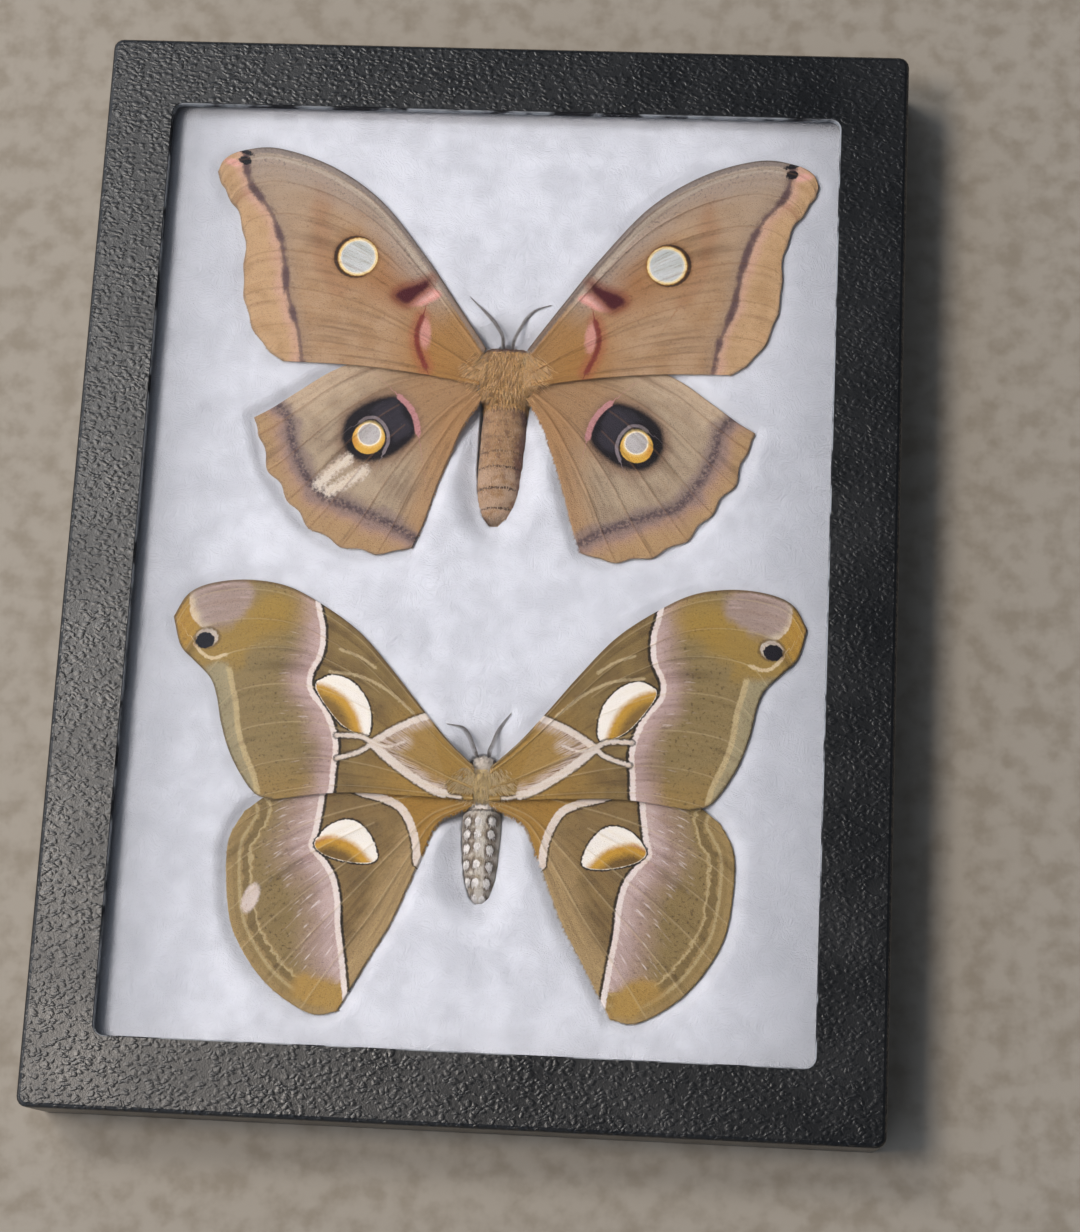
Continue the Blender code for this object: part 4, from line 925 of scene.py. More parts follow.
# %% Where the wings and bodies press the cotton
PAD_LOW, PAD_HIGH = (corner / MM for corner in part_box("batting"))
CROWN = GLASS_BOTTOM - 0.75  # the cotton under the pane, clear of the wings
NEST_FLOOR = 3.6


def outline_of(wing, side, place):
    """A wing's whole outline in case coordinates."""
    front, outer, rear, root = wing["margins"]
    return place(np.vstack([front[::4], outer[::4], rear[::-4], root[::-1]]), side)


def spaced(low, high, fine_spans, fine, coarse):
    """Grid lines from low to high, closer together inside some spans."""
    lines = [low]
    while lines[-1] < high - 0.5 * coarse:
        here = lines[-1]
        lines.append(here + (fine if any(a <= here <= b for a, b in fine_spans) else coarse))
    return np.array(lines[:-1] + [high])


def body_outline(halves, lean, place):
    """A body's outline from above, from its half-widths and how far its tail leans."""
    forward, half = np.array(halves, float).T
    middle = lean * np.clip(-forward / 30, 0, 1) ** 1.5
    right = np.column_stack([middle + half, forward])
    left = np.column_stack([middle - half, forward])[::-1]
    return place(np.vstack([right, left]))


MOTH_HALVES = [(6.9, 1.3), (6.1, 2.0), (5.7, 4.3), (5.2, 5.1), (3, 5.5), (-3.5, 5.3), (-5.6, 4.9),
               (-18, 4.55), (-24, 3.7),
               (-28, 2.5), (-30.2, 0.8)]
CYNTHIA_HALVES = [(6.2, 0.6), (5.9, 1.9), (4.6, 3.0), (3, 3.8), (1, 4.4), (-1.5, 4.2), (-3.8, 3.6),
                  (-8, 3.9), (-14, 3.5),
                  (-18, 3), (-21, 2), (-22.4, 0.7)]
FEELERS = {"moth_left": (on_moth, [(-0.9, 7.4), (-1.6, 8.9), (-3.0, 10.9), (-5.0, 13.0), (-6.5, 14.4),
                                   (-7.9, 15.8)]),
           "moth_right": (on_moth, [(1.5, 7.6), (2.5, 9.7), (3.7, 11.8), (5.2, 13.3), (6.8, 14.0),
                                    (8.5, 14.5)]),
           "cynthia_left": (on_cynthia, [(-1.25, 6.2), (-1.8, 7.6), (-2.5, 9.2), (-3.8, 10.8), (-5.6, 11.2),
                                         (-7.3, 11.4)]),
           "cynthia_right": (on_cynthia, [(0.9, 6.2), (1.5, 7.8), (2.4, 10.2), (3.6, 12.0), (5.1, 13.8)])}
FEELER_HIGH = GLASS_BOTTOM - 0.85
across = spaced(PAD_LOW.x, PAD_HIGH.x, [(-4.5, 10.0)], 0.3, 0.85)
along = spaced(PAD_LOW.y, PAD_HIGH.y, [(6, 47), (-67, -34)], 0.36, 0.85)
grid_x, grid_y = np.meshgrid(across, along)
flat = np.column_stack([grid_x.ravel(), grid_y.ravel()])
lumps = hills(flat[:, 0], flat[:, 1], 11.0, 31.0) * 0.28 + hills(flat[:, 0], flat[:, 1], 3.2, 35.0) * 0.12
wisps = hills(flat[:, 0], flat[:, 1], 1.3, 39.0) * 0.05
surface = np.minimum(CROWN + lumps + wisps, GLASS_BOTTOM - 0.25)
for wing, place_on in ((forewing, on_moth), (cynthia_forewing, on_cynthia), (hindwing, on_moth),
                       (cynthia_hindwing, on_cynthia)):
    for side in (-1, 1):
        away = outside_distance(flat, outline_of(wing, side, place_on))
        bed = wing["low"] - 0.3
        rise = bed + (surface - bed) * smoothstep(0.1, 2.6, away) ** 0.6
        surface = np.where(away < 2.6, np.minimum(surface, rise), surface)
for halves, lean, place_on in ((MOTH_HALVES, -1.0, on_moth), (CYNTHIA_HALVES, 0.0, on_cynthia)):
    away = outside_distance(flat, body_outline(halves, lean, place_on))
    surface -= 3.0 * (1 - smoothstep(-0.5, 6.0, away))
    surface = NEST_FLOOR + (surface - NEST_FLOOR) * smoothstep(-0.62, -0.1, away)
for place_on, route in FEELERS.values():
    away = np.abs(distance_to(flat, place_on(smooth_path(route, 20))))
    surface = np.minimum(surface, FEELER_HIGH - 0.3 + 0.5 * smoothstep(0.3, 1.6, away))
edge = np.minimum.reduce([flat[:, 0] - PAD_LOW.x, PAD_HIGH.x - flat[:, 0], flat[:, 1] - PAD_LOW.y,
                          PAD_HIGH.y - flat[:, 1]])
surface -= 1.6 * (1 - smoothstep(0, 4.0, edge))

# %% The cotton's finish and mesh
cotton, tree, shader, place = new_finish("white_cotton_batting", 0.95, Sheen_Weight=0.35, Sheen_Roughness=0.6,
                                         Specular_IOR_Level=0.1)
tangle = add(tree, "ShaderNodeTexNoise", {"Vector": place, "Scale": 0.16, "Detail": 1.0})
swirled = add(tree, "ShaderNodeVectorMath", {0: tangle.outputs[1], 1: (14, 14, 14), 2: place},
              operation="MULTIPLY_ADD").outputs[0]
strands = grain(tree, swirled, 0.9, 1.0, 2.0, stretch=(3.0, 0.45, 1.0))
cross_strands = grain(tree, swirled, 0.9, 1.0, 2.0, stretch=(0.5, 3.0, 1.0))
web = add(tree, "ShaderNodeMath", {0: strands, 1: cross_strands}, operation="ADD").outputs[0]
emboss(tree, shader, web, 0.03)
fluff = grain(tree, place, 6.0, 1.0, 2.0)
tone = lay_over(tree, paint("#cdd0d5"), paint("#dcdfe4"), mask_of(tree, fluff, -0.8, 0.8))
tone = lay_over(tree, tone, paint("#bfc3c7"), mask_of(tree, web, 0.3, -1.6, strength=0.2))
# painted shade: the pad's colour darkens towards its left and right sides, where the lid would shade it
across = add(tree, "ShaderNodeSeparateXYZ", {0: place}).outputs["X"]  # the lid shades the pad's sides
tone = lay_over(tree, tone, paint("#9c9fa3"), mask_of(tree, unsigned(tree, across), 42.0, 66.0, strength=0.6))
tree.links.new(tone, shader.inputs["Base Color"])

quads, rim = sheet_faces(*grid_x.shape)
below = len(flat) + np.arange(len(rim))
foot = np.column_stack([flat[rim], np.full(len(rim), PAD_LOW.z)])
points = np.vstack([np.column_stack([flat, surface]), foot])
wall = np.column_stack([rim, below, np.roll(below, -1), np.roll(rim, -1)])
faces = quads.tolist() + wall.tolist() + [below[::-1].tolist()]
pad = make_piece("cotton_pad", points, faces, cotton)
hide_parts("batting")
print("cotton pad", triangles_in(pad), "triangles, highest at z", round(float(surface.max()), 2))

# %% [markdown]
# Moth fur is a coat of long hair-like scales. One hair would be too fine to see at this size, so the
# coat is made of tufts: thin three-sided locks that taper, bend and overlap. All the tufts of a coat
# are one mesh built from arrays. Each keeps a small patch of a UV map at its root's place on the skin,
# so that an export can bake its colour, and each knows its root's place for the markings.

# %% Growing a coat of tufts
TUFT_RINGS = ((0.0, 0.85), (0.4, 1.0), (0.75, 0.62))  # share along a tuft, and its width there
PATCH = 0.003


def unit(vectors):
    """Vectors made one long."""
    return vectors / np.maximum(np.linalg.norm(vectors, axis=-1, keepdims=True), 1e-9)


def grow_coat(name, roots, ways, normals, lengths, widths, uv, material, fields, droop):
    """A mesh of closed, tapered tufts from their roots."""
    count = len(roots)
    side = unit(np.cross(ways, normals))
    up = unit(np.cross(side, ways))
    points = np.zeros((count, 10, 3))
    shares = np.zeros(10)
    for ring, (share, girth) in enumerate(TUFT_RINGS):
        middle = roots + ways * (lengths * share)[:, None] + droop * (lengths * share ** 2)[:, None]
        shares[ring * 3:ring * 3 + 3] = share
        for corner in range(3):
            angle = 2 * math.pi * corner / 3
            swing = side * math.cos(angle) + up * math.sin(angle) * 0.55
            points[:, ring * 3 + corner] = middle + swing * (widths * girth / 2)[:, None]
    points[:, 9] = roots + ways * lengths[:, None] + droop * lengths[:, None]
    shares[9] = 1.0
    points[:, :, 2] = np.minimum(points[:, :, 2], GLASS_BOTTOM - 0.1 - 0.1 * shares[None, :])
    faces = [(0, 1, 2)]
    for low, high in ((0, 3), (3, 6)):
        for k in range(3):
            following = (k + 1) % 3
            faces += [(low + k, high + k, high + following), (low + k, high + following, low + following)]
    faces += [(6 + k, 9, 6 + (k + 1) % 3) for k in range(3)]
    faces = (np.array(faces)[None] + 10 * np.arange(count)[:, None, None]).reshape(-1, 3)
    thirds = [(ring / 3, corner / 3) for ring in range(3) for corner in range(3)]
    layout = np.array(thirds + [(1.0, 0.33)]) * PATCH
    spread_uv = (np.clip(uv, 0.0, 1.0 - PATCH)[:, None, :] + layout[None]).reshape(-1, 2)
    held = {label: np.repeat(values, 10) for label, values in fields.items()}
    held["along"] = np.tile(shares, count)
    coat = make_piece(name, points.reshape(-1, 3), faces, material, held, spread_uv)
    print(name, count, "tufts,", len(faces), "triangles")
    return coat


def sample_skin(skin, per_square_mm, seed, wanted=None):
    """Random roots and normals over a skin, thinned by a function of the root's place."""
    mesh = skin.data
    mesh.calc_loop_triangles()
    places = read_points(mesh) / MM
    lean = read_points(mesh, "normal")
    corners = np.zeros(len(mesh.loop_triangles) * 3, np.int32)
    mesh.loop_triangles.foreach_get("vertices", corners)
    corners = corners.reshape(-1, 3)
    a, b, c = (places[corners[:, k]] for k in range(3))
    areas = np.linalg.norm(np.cross(b - a, c - a), axis=1) / 2
    rng = np.random.default_rng(seed)
    total = int(areas.sum() * per_square_mm)
    chosen = rng.choice(len(areas), total, p=areas / areas.sum())
    s, t = rng.random(total), rng.random(total)
    over = s + t > 1
    s[over], t[over] = 1 - s[over], 1 - t[over]
    shares = np.column_stack([1 - s - t, s, t])
    roots = sum(shares[:, k:k + 1] * places[corners[chosen, k]] for k in range(3))
    normals = unit(sum(shares[:, k:k + 1] * lean[corners[chosen, k]] for k in range(3)))
    if wanted is not None:
        kept = rng.random(total) < wanted(roots, normals)
        roots, normals = roots[kept], normals[kept]
    return roots, normals, rng


# %% [markdown]
# Head, thorax and abdomen are one skin with no seam, a little slimmer than the solids by the depth of
# the coat. Rings of points give each form. A voxel remesh then fuses them, and a few passes of
# smoothing round the joins, as modelling clay would be.

# %% Forms for a body skin
def make_rings(rings, count=40):
    """Points and faces of a closed form. A ring is its place along, middle, half sizes and power."""
    points = []
    for along_body, middle, half_width, half_height, power in rings:
        turn = np.linspace(0, 2 * math.pi, count, endpoint=False)
        c, s = np.cos(turn), np.sin(turn)
        x = middle[0] + half_width * np.sign(c) * np.abs(c) ** (2 / power)
        z = middle[1] + half_height * np.sign(s) * np.abs(s) ** (2 / power)
        points.append(np.column_stack([x, np.full(count, along_body), z]))
    return np.vstack(points), ring_faces(len(rings), count)


def ball(centre, radii, count=22):
    """An ellipsoid as rings."""
    turns = np.linspace(-math.pi / 2 + 0.06, math.pi / 2 - 0.06, count)
    return make_rings([(centre[1] + radii[1] * math.sin(t), (centre[0], centre[2]), radii[0] * math.cos(t),
                        radii[2] * math.cos(t), 2.0) for t in turns])


def fuse(name, forms, material, voxel, passes):
    """One skin from overlapping closed forms."""
    points, faces = join_forms(forms)
    rough = bpy.data.meshes.new(name + "_rough")
    rough.from_pydata((points * MM).tolist(), [], faces)
    source = bpy.data.objects.new(name + "_rough", rough)
    bpy.context.scene.collection.objects.link(source)
    remesh = source.modifiers.new("fuse", "REMESH")
    remesh.mode = "VOXEL"
    remesh.voxel_size = voxel * MM
    soften = source.modifiers.new("soften", "SMOOTH")
    soften.factor = 0.5
    soften.iterations = passes
    bpy.context.view_layer.update()
    mesh = bpy.data.meshes.new_from_object(source.evaluated_get(bpy.context.evaluated_depsgraph_get()))
    bpy.data.objects.remove(source)
    return read_points(mesh) / MM, [tuple(face.vertices) for face in mesh.polygons]


# %% The polyphemus moth's body
COAT_DEPTH = 0.55
SEGMENT_ENDS = (-6.2, -9.3, -12.4, -15.3, -18.4, -22.7, -26.6)  # the dark lines across the abdomen
ABDOMEN_TIP = -30.0


def abdomen_width(forward):
    """The polyphemus abdomen's half-width, coat and all."""
    share = (-5.9 - forward) / 24.6
    return 4.85 * (0.93 + 0.07 * smoothstep(0, 0.2, share)) * (1 - 0.5 * smoothstep(0.62, 1.1, share) ** 1.3)


def abdomen_lean(forward):
    """How far the abdomen leans to the left."""
    return -0.7 * np.clip((-5.9 - forward) / 23.5, 0, 1) ** 1.5


thorax_rings = []
for step in range(26):
    forward = -5.5 * math.cos(math.pi * step / 25)
    power = 6.0 if forward > 0 else 4.0
    plan = max(1 - abs(forward / 5.62) ** power, 0.0) ** (1 / power)
    half = max(5.5 * plan - COAT_DEPTH, 0.3)
    thorax_rings.append((MOTH_Y + forward, (MOTH_X, BODY_Z - 0.1), half, half * 0.96, 5.0))
abdomen_rings = []
for step in range(96):
    forward = -4.6 + (ABDOMEN_TIP + 4.6) * step / 95
    behind = min((forward - end for end in SEGMENT_ENDS if forward >= end), default=forward - ABDOMEN_TIP)
    from_seam = min(abs(forward - end) for end in SEGMENT_ENDS)
    swell = 0.16 * math.exp(-behind / 0.7) - 0.22 * math.exp(-(from_seam / 0.16) ** 2)
    tip = math.sqrt(max(1 - max((ABDOMEN_TIP + 2.4 - forward) / 2.4, 0.0) ** 2, 0.02))
    half = (float(abdomen_width(forward)) - COAT_DEPTH * 0.75 + swell) * tip
    abdomen_rings.append((MOTH_Y + forward, (MOTH_X + float(abdomen_lean(forward)), BODY_Z - 0.3), half,
                          half * 0.93, 2.3))
HEAD = (MOTH_X, MOTH_Y + 3.2, 8.4)
forms = [make_rings(thorax_rings), make_rings(abdomen_rings), ball(HEAD, (2.3, 2.0, 2.0)),
         make_rings([(MOTH_Y + 0.5, (MOTH_X, 8.6), 1.9, 1.9, 2.0),
                     (MOTH_Y + 3.2, (MOTH_X, 8.4), 1.9, 1.8, 2.0)])]
for side in (-1, 1):
    palp = []
    for step in range(9):
        share = step / 8
        girth = 0.5 * math.sqrt(max(1 - (2 * share - 0.9) ** 2 / 1.3, 0.02))
        palp.append((MOTH_Y + 4.0 + 2.0 * share, (MOTH_X + side * 0.75, 7.2 + 1.2 * (share ** 2 - share)),
                     girth,
                     girth * 1.1, 2.0))
    forms.append(make_rings(palp, 14))


def moth_fields(places):
    """Where a place is on the polyphemus body, for its markings."""
    forward = places[:, 1] - MOTH_Y
    across = places[:, 0] - MOTH_X
    bowed = forward + 0.25 * np.abs(across / 4) ** 2
    seam = np.min([np.abs(bowed - end) for end in SEGMENT_ENDS], axis=0)
    return {"forward": forward, "across": across - abdomen_lean(forward), "seam": seam}


def body_unwrap(places, middle, front, back):
    """Shares round and along a body, as a UV map of its own shape."""
    turn = np.arctan2(places[:, 0] - middle[0], -(places[:, 2] - middle[1])) / (2 * math.pi) + 0.5
    return np.column_stack([turn, (places[:, 1] - back) / (front - back)])


def fur_finish(name, lay_markings, roughness=0.8, sheen=0.25):
    """A furry finish that skin and coat share: darker at the roots, lighter at the tips."""
    material, tree, shader, place = new_finish(name, roughness, Sheen_Weight=sheen, Sheen_Roughness=0.45,
                                               Specular_IOR_Level=0.3)
    strands = grain(tree, place, 0.3, 1.0, 3.0, stretch=(2.2, 0.6, 2.2))
    clouds = grain(tree, place, 2.4, 1.0, 3.0)
    ragged = grain(tree, place, 0.5, 0.22, 3.0)
    colour = lay_markings(tree, place, {"strands": strands, "clouds": clouds, "ragged": ragged})
    along_tuft, lot = field(tree, "along"), field(tree, "lot")
    colour = lay_all(tree, colour, [
        ("#2c1d14", mask_of(tree, along_tuft, 0.4, 0.0, strength=0.2)),
        ("#fff0d8", mask_of(tree, along_tuft, 0.5, 1.0, strength=0.1)),
        ("#fff0dc", mask_of(tree, lot, 0.6, 1.0, strength=0.2)),
        ("#4a2f1c", mask_of(tree, lot, 0.4, 0.0, strength=0.25))])
    tree.links.new(colour, shader.inputs["Base Color"])
    emboss(tree, shader, strands, 0.08)
    return material


def moth_fur_colours(tree, place, grains):
    """Ochre thorax with a maroon front edge, and a pinkish-tan abdomen with dark lines."""
    ragged, clouds = grains["ragged"], grains["clouds"]
    forward, across, seam = field(tree, "forward"), field(tree, "across"), field(tree, "seam")
    colour = lay_over(tree, paint("#edbb74"), paint("#d4a05f"), mask_of(tree, clouds, -0.2, 0.9))
    colour = lay_over(tree, colour, paint("#e8c88e"), mask_of(tree, clouds, -0.35, -1.1, strength=0.7))
    colour = lay_over(tree, colour, paint("#b48e66"), mask_of(tree, forward, -5.4, -6.8, ragged))
    on_abdomen = mask_of(tree, forward, -5.6, -6.6)
    colour = lay_over(tree, colour, paint("#9d7850"), both(tree, on_abdomen,
                                                           mask_of(tree, clouds, 0.1, 0.9, strength=0.7)))
    mottle = grain(tree, place, 1.5, 1.0, 4.0)
    colour = lay_all(tree, colour, [
        ("#7f5b44", both(tree, on_abdomen, mask_of(tree, mottle, 0.1, 0.7, strength=0.7))),
        ("#cfae8e", both(tree, on_abdomen, mask_of(tree, mottle, -0.2, -0.9, strength=0.7))),
        # the maroon and dark blotches on the abdomen's right flank are partly its markings and partly painted
        # shade
        ("#7c5040", both(tree, on_abdomen, mask_of(tree, across, 2.5, 4.0, grains["clouds"], 0.85))),
        ("#4a2a22", both(tree, both(tree, on_abdomen, mask_of(tree, across, 1.0, 3.4)),
                         mask_of(tree, grain(tree, place, 1.1), 0.35, 0.8, strength=0.75))),
        ("#9a7a5c", both(tree, on_abdomen, mask_of(tree, across, -3.6, -4.6, ragged, 0.6))),
        ("#c4a68a", both(tree, mask_of(tree, forward, -17.5, -20, ragged),
                         mask_of(tree, clouds, 0.6, -0.4, strength=0.8))),
        ("#3a2820", both(tree, mask_of(tree, forward, -14, -17),
                         mask_of(tree, seam, 0.26, 0.08, ragged, 0.9))),
        ("#6f523a", both(tree, on_abdomen, mask_of(tree, seam, 0.3, 0.1, ragged, 0.45)))])
    return lay_over(tree, colour, paint("#5f2f28"), mask_of(tree, forward, 4.5, 4.95, ragged, 0.85))


moth_fur = fur_finish("ochre_moth_fur", moth_fur_colours)
skin_places, skin_faces = fuse("moth_body", forms, moth_fur, 0.26, 5)
skin_fields = moth_fields(skin_places)
skin_fields.update({"along": np.full(len(skin_places), 0.25), "lot": np.full(len(skin_places), 0.5)})


def make_skin(name, places, faces, material, fields, slot):
    """A closed skin as a piece."""
    skin = make_piece(name, places, faces, material, fields)
    print(name, triangles_in(skin), "triangles")
    return skin


moth_skin = make_skin("moth_body_skin", skin_places, skin_faces, moth_fur, skin_fields, "body_fur")
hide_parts("thorax", "abdomen", "head")

# %% [markdown]
# The thorax wears long shaggy hair that lies back over the wing roots. The abdomen's is short, like
# worn velvet, and each segment ends in a fringe over the next. The face has the shortest hair.

# %% The polyphemus coat
def lie_of(normals, flow, lift, rng, scatter):
    """Directions along a surface, following a flow, lifted off it and scattered."""
    tangent = flow - normals * (flow * normals).sum(1, keepdims=True)
    return unit(unit(tangent) + normals * lift[:, None] + rng.normal(0, scatter, normals.shape))


def coat_of(name, skin, density, seed, region, flow_of, length_of, width, lift, scatter, fields_of, unwrap,
            material):
    """A coat over one region of a skin."""
    roots, normals, rng = sample_skin(skin, density, seed, region)
    lengths = length_of(roots, normals) * rng.uniform(0.75, 1.25, len(roots))
    ways = lie_of(normals, flow_of(roots), np.full(len(roots), lift), rng, scatter)
    held = fields_of(roots)
    held["lot"] = rng.random(len(roots))
    widths = width * rng.uniform(0.7, 1.25, len(roots))
    sunk = roots - normals * 0.06
    return grow_coat(name, sunk, ways, normals, lengths, widths, unwrap(roots), material, held,
                     -normals * 0.22)


def moth_unwrap(places):
    return body_unwrap(places, (MOTH_X, BODY_Z), MOTH_Y + 7, MOTH_Y + ABDOMEN_TIP)


def thorax_region(roots, normals):
    forward = roots[:, 1] - MOTH_Y
    return (forward > -6.0) & (roots[:, 2] > 6.0) & ~head_region(roots, normals)


def head_region(roots, normals):
    offset = roots - np.array(HEAD)
    near_head = (np.abs(offset[:, 0]) < 2.7) & (np.abs(offset[:, 2]) < 2.6) & (roots[:, 1] > MOTH_Y + 1.4)
    return near_head & (normals[:, 2] < 0.75) & (roots[:, 2] < 11.4) & (np.linalg.norm(offset, axis=1) < 3.6)


def abdomen_region(roots, normals):
    return roots[:, 1] - MOTH_Y < -5.2


def moth_flow(roots):
    """Hair lies back, and outwards at the sides of the thorax."""
    forward = roots[:, 1] - MOTH_Y
    aside = (roots[:, 0] - MOTH_X) / THORAX_HALF
    out = np.where(forward > -5.5, aside * 0.55, 0.12 * aside)
    front = smoothstep(4.4, 5.4, forward)
    return np.column_stack([out, -1.0 + 1.3 * front, np.where(forward > 4.6, 0.3, -0.1)])


def thorax_length(roots, normals):
    forward = roots[:, 1] - MOTH_Y
    beside_wing = (np.abs(roots[:, 0] - MOTH_X) > 4.4) & (roots[:, 2] < 14.2) & (roots[:, 2] > 11.5)
    length = np.where(forward > 4.6, 0.75, 1.75)
    return np.where(beside_wing, 0.6, length)


def abdomen_length(roots, normals):
    forward = roots[:, 1] - MOTH_Y
    behind = np.min([np.where(forward >= end, forward - end, 9.0) for end in SEGMENT_ENDS], axis=0)
    return np.where(behind < 0.5, 0.85, 0.62) + np.where(forward < ABDOMEN_TIP + 2.2, 0.8, 0.0)


coat_of("moth_thorax_coat", moth_skin, 20, 11, thorax_region, moth_flow, thorax_length, 0.2, 0.34, 0.15,
        moth_fields,
        moth_unwrap, moth_fur)
coat_of("moth_abdomen_coat", moth_skin, 15, 12, abdomen_region, moth_flow, abdomen_length, 0.17, 0.2, 0.11,
        moth_fields, moth_unwrap, moth_fur)


def face_flow(roots):
    offset = roots - np.array(HEAD)
    return np.column_stack([offset[:, 0] * 0.35, np.full(len(roots), 0.6), -0.8 - 0.1 * offset[:, 2]])


coat_of("moth_face_coat", moth_skin, 34, 13, head_region, face_flow, lambda roots,
        normals: np.full(len(roots), 0.5),
        0.11, 0.25, 0.12, moth_fields, moth_unwrap, moth_fur)

# %% [markdown]
# A moth's eye is a dark ball of tiny hexagonal facets that shows a soft, broad highlight.

# %% Eyes
eye_finish, tree, shader, place = new_finish("faceted_dark_eye", 0.24, Coat_Weight=0.4, Coat_Roughness=0.15)
facets = add(tree, "ShaderNodeTexVoronoi", {"Vector": place, "Scale": 1 / 0.09}, feature="DISTANCE_TO_EDGE")
dome = add(tree, "ShaderNodeMapRange", {"Value": facets.outputs["Distance"], "From Max": 0.35},
           interpolation_type="SMOOTHSTEP").outputs[0]
emboss(tree, shader, dome, 0.02)
tone = lay_over(tree, paint("#1d1612"), paint("#3a2c22"), mask_of(tree, grain(tree, place, 0.9), -0.4, 0.9))
tree.links.new(tone, shader.inputs["Base Color"])
for word in ("left", "right"):
    low, high = (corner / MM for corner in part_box("eye_" + word))
    centre, half = (low + high) / 2, (high - low) / 2
    points, faces = ball(tuple(centre), tuple(half), 30)
    eye = make_skin("moth_eye_" + word, points, faces, eye_finish, {}, "eye")
    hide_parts("eye_" + word)

# %% [markdown]
# Each feeler is a comb: a bending shaft with short side branches on both sides, a fifth of a
# millimetre apart. On this dried moth the branches have folded in, so that each reads as a narrow grey
# blade. A female's are narrow like these.

# %% Feelers
feeler_finish, tree, shader, place = new_finish("grey_brown_cuticle", 0.55, Specular_IOR_Level=0.35)
tone = lay_over(tree, paint("#8a8683"), paint("#6f6963"), mask_of(tree, grain(tree, place, 0.5), -0.5, 0.8))
tree.links.new(tone, shader.inputs["Base Color"])
emboss(tree, shader, grain(tree, place, 0.12), 0.02)


def tube(path, radii, sides=8):
    """Points and faces of a round tube along a path, closed by its narrow ends."""
    path = np.asarray(path, float)
    ahead = unit(np.gradient(path, axis=0))
    side = unit(np.cross(ahead, (0.0, 0.0, 1.0)))
    up = np.cross(side, ahead)
    turn = np.linspace(0, 2 * math.pi, sides, endpoint=False)
    swing = side[:, None] * np.cos(turn)[None, :, None] + up[:, None] * np.sin(turn)[None, :, None]
    points = (path[:, None] + swing * np.asarray(radii)[:, None, None]).reshape(-1, 3)
    return points, ring_faces(len(path), sides)


def make_feeler(name, route, thick, branch, spacing, lean, sides_with, material, slot):
    """A comb-like feeler: its shaft and its pairs of side branches in one piece."""
    steps = 60
    path = smooth_path(route, steps)
    share = np.linspace(0, 1, steps)
    forms = [tube(path, thick * (1 - 0.62 * share) * (1 - 0.5 * smoothstep(0.96, 1.0, share)))]
    length = np.linalg.norm(np.diff(path, axis=0), axis=1).sum()
    pairs = int(length * 0.9 / spacing)
    ahead = unit(np.gradient(path, axis=0))
    for pair in range(pairs):
        place_share = 0.1 + 0.88 * pair / pairs
        here = np.array([np.interp(place_share, share, path[:, k]) for k in range(3)])
        way = unit(np.array([np.interp(place_share, share, ahead[:, k]) for k in range(3)]))
        aside = unit(np.cross(way, (0, 0, 1)))
        reach = branch * (1 - 0.75 * smoothstep(0.55, 1.0, place_share))
        reach *= 0.6 + 0.4 * smoothstep(0.05, 0.25, place_share)
        for hand in sides_with:
            end = here + aside * hand * reach + way * reach * lean
            middle = (here + end) / 2 + way * reach * 0.12
            forms.append(tube([here, middle, end], [thick * 0.5, thick * 0.42, thick * 0.2], 5))
    return make_skin(name, *join_forms(forms), material, {}, slot)


for word, side in (("left", -1), ("right", 1)):
    places = [(MOTH_X + side * 0.95, MOTH_Y + 4.9, 9.7), (MOTH_X + side * 0.95, MOTH_Y + 6.3, 12.3)]
    places += [(MOTH_X + x, MOTH_Y + y, FEELER_HIGH) for x, y in FEELERS["moth_" + word][1]]
    feeler = make_feeler("moth_feeler_" + word, places, 0.17, 0.42, 0.21, 1.0, (-1, 1), feeler_finish,
                         "cuticle")
    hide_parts("antenna_" + word)

# %% [markdown]
# The legs are folded under the body, where the cotton hides them. Their solids have the right shape, so
# they stay, with a horny brown finish and short hair along them.

# %% Legs
leg_finish, tree, shader, place = new_finish("brown_leg_cuticle", 0.5, Specular_IOR_Level=0.4)
tone = lay_over(tree, paint("#5a3d2a"), paint("#3c281c"), mask_of(tree, grain(tree, place, 0.6), -0.5, 0.8))
tree.links.new(tone, shader.inputs["Base Color"])
emboss(tree, shader, grain(tree, place, 0.15), 0.03)
for word in ("left", "right"):
    for leg in ("leg_front_", "leg_middle_", "leg_hind_"):
        finish_node(leg + word, leg_finish)
        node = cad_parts[leg + word]
        low, high = (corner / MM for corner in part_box(leg + word))

        def leg_unwrap(places, low=low, high=high):
            return np.column_stack([(places[:, 0] - low.x) / (high.x - low.x),
                                    (places[:, 1] - low.y) / (high.y - low.y)])

        coat_of("coat_" + leg + word, node, 14, 20, None,
                lambda roots: np.tile((0.0, -1.0, 0.0), (len(roots), 1)),
                lambda roots, normals: np.full(len(roots), 0.4), 0.09, 0.25, 0.1, moth_fields, leg_unwrap,
                moth_fur)

# %% [markdown]
# The cynthia moth has a white face, an olive thorax behind it, a white collar, and a grey-white abdomen
# with rows of white tufts, each rimmed in brown. Its skin, coat and feelers are made as the other's
# were, from its own sizes, and stand for its one plain solid.

# %% The cynthia moth's body
CYNTHIA_TUFTS = [(-2.45, -7.0), (-2.5, -9.4), (-2.55, -12.0), (-2.55, -15.1), (-2.3, -18.3),
                 (2.1, -6.8), (2.0, -9.4), (1.85, -12.3), (1.8, -15.4), (1.4, -18.5),
                 (-0.4, -6.9), (-0.45, -9.3), (-0.5, -11.7), (-0.55, -15.0), (-0.7, -18.4), (-0.9, -21.4),
                 (0.7, -21.6)]
COLLAR_BACK = 4.75  # how far behind the thorax's middle the white collar ends


def to_cynthia(places):
    """Places in the case, in the cynthia moth's own measures."""
    c, s = math.cos(math.radians(CYNTHIA_TURN)), math.sin(math.radians(CYNTHIA_TURN))
    x, y = places[:, 0] - CYNTHIA_X, places[:, 1] - CYNTHIA_Y
    return x * c + y * s, y * c - x * s


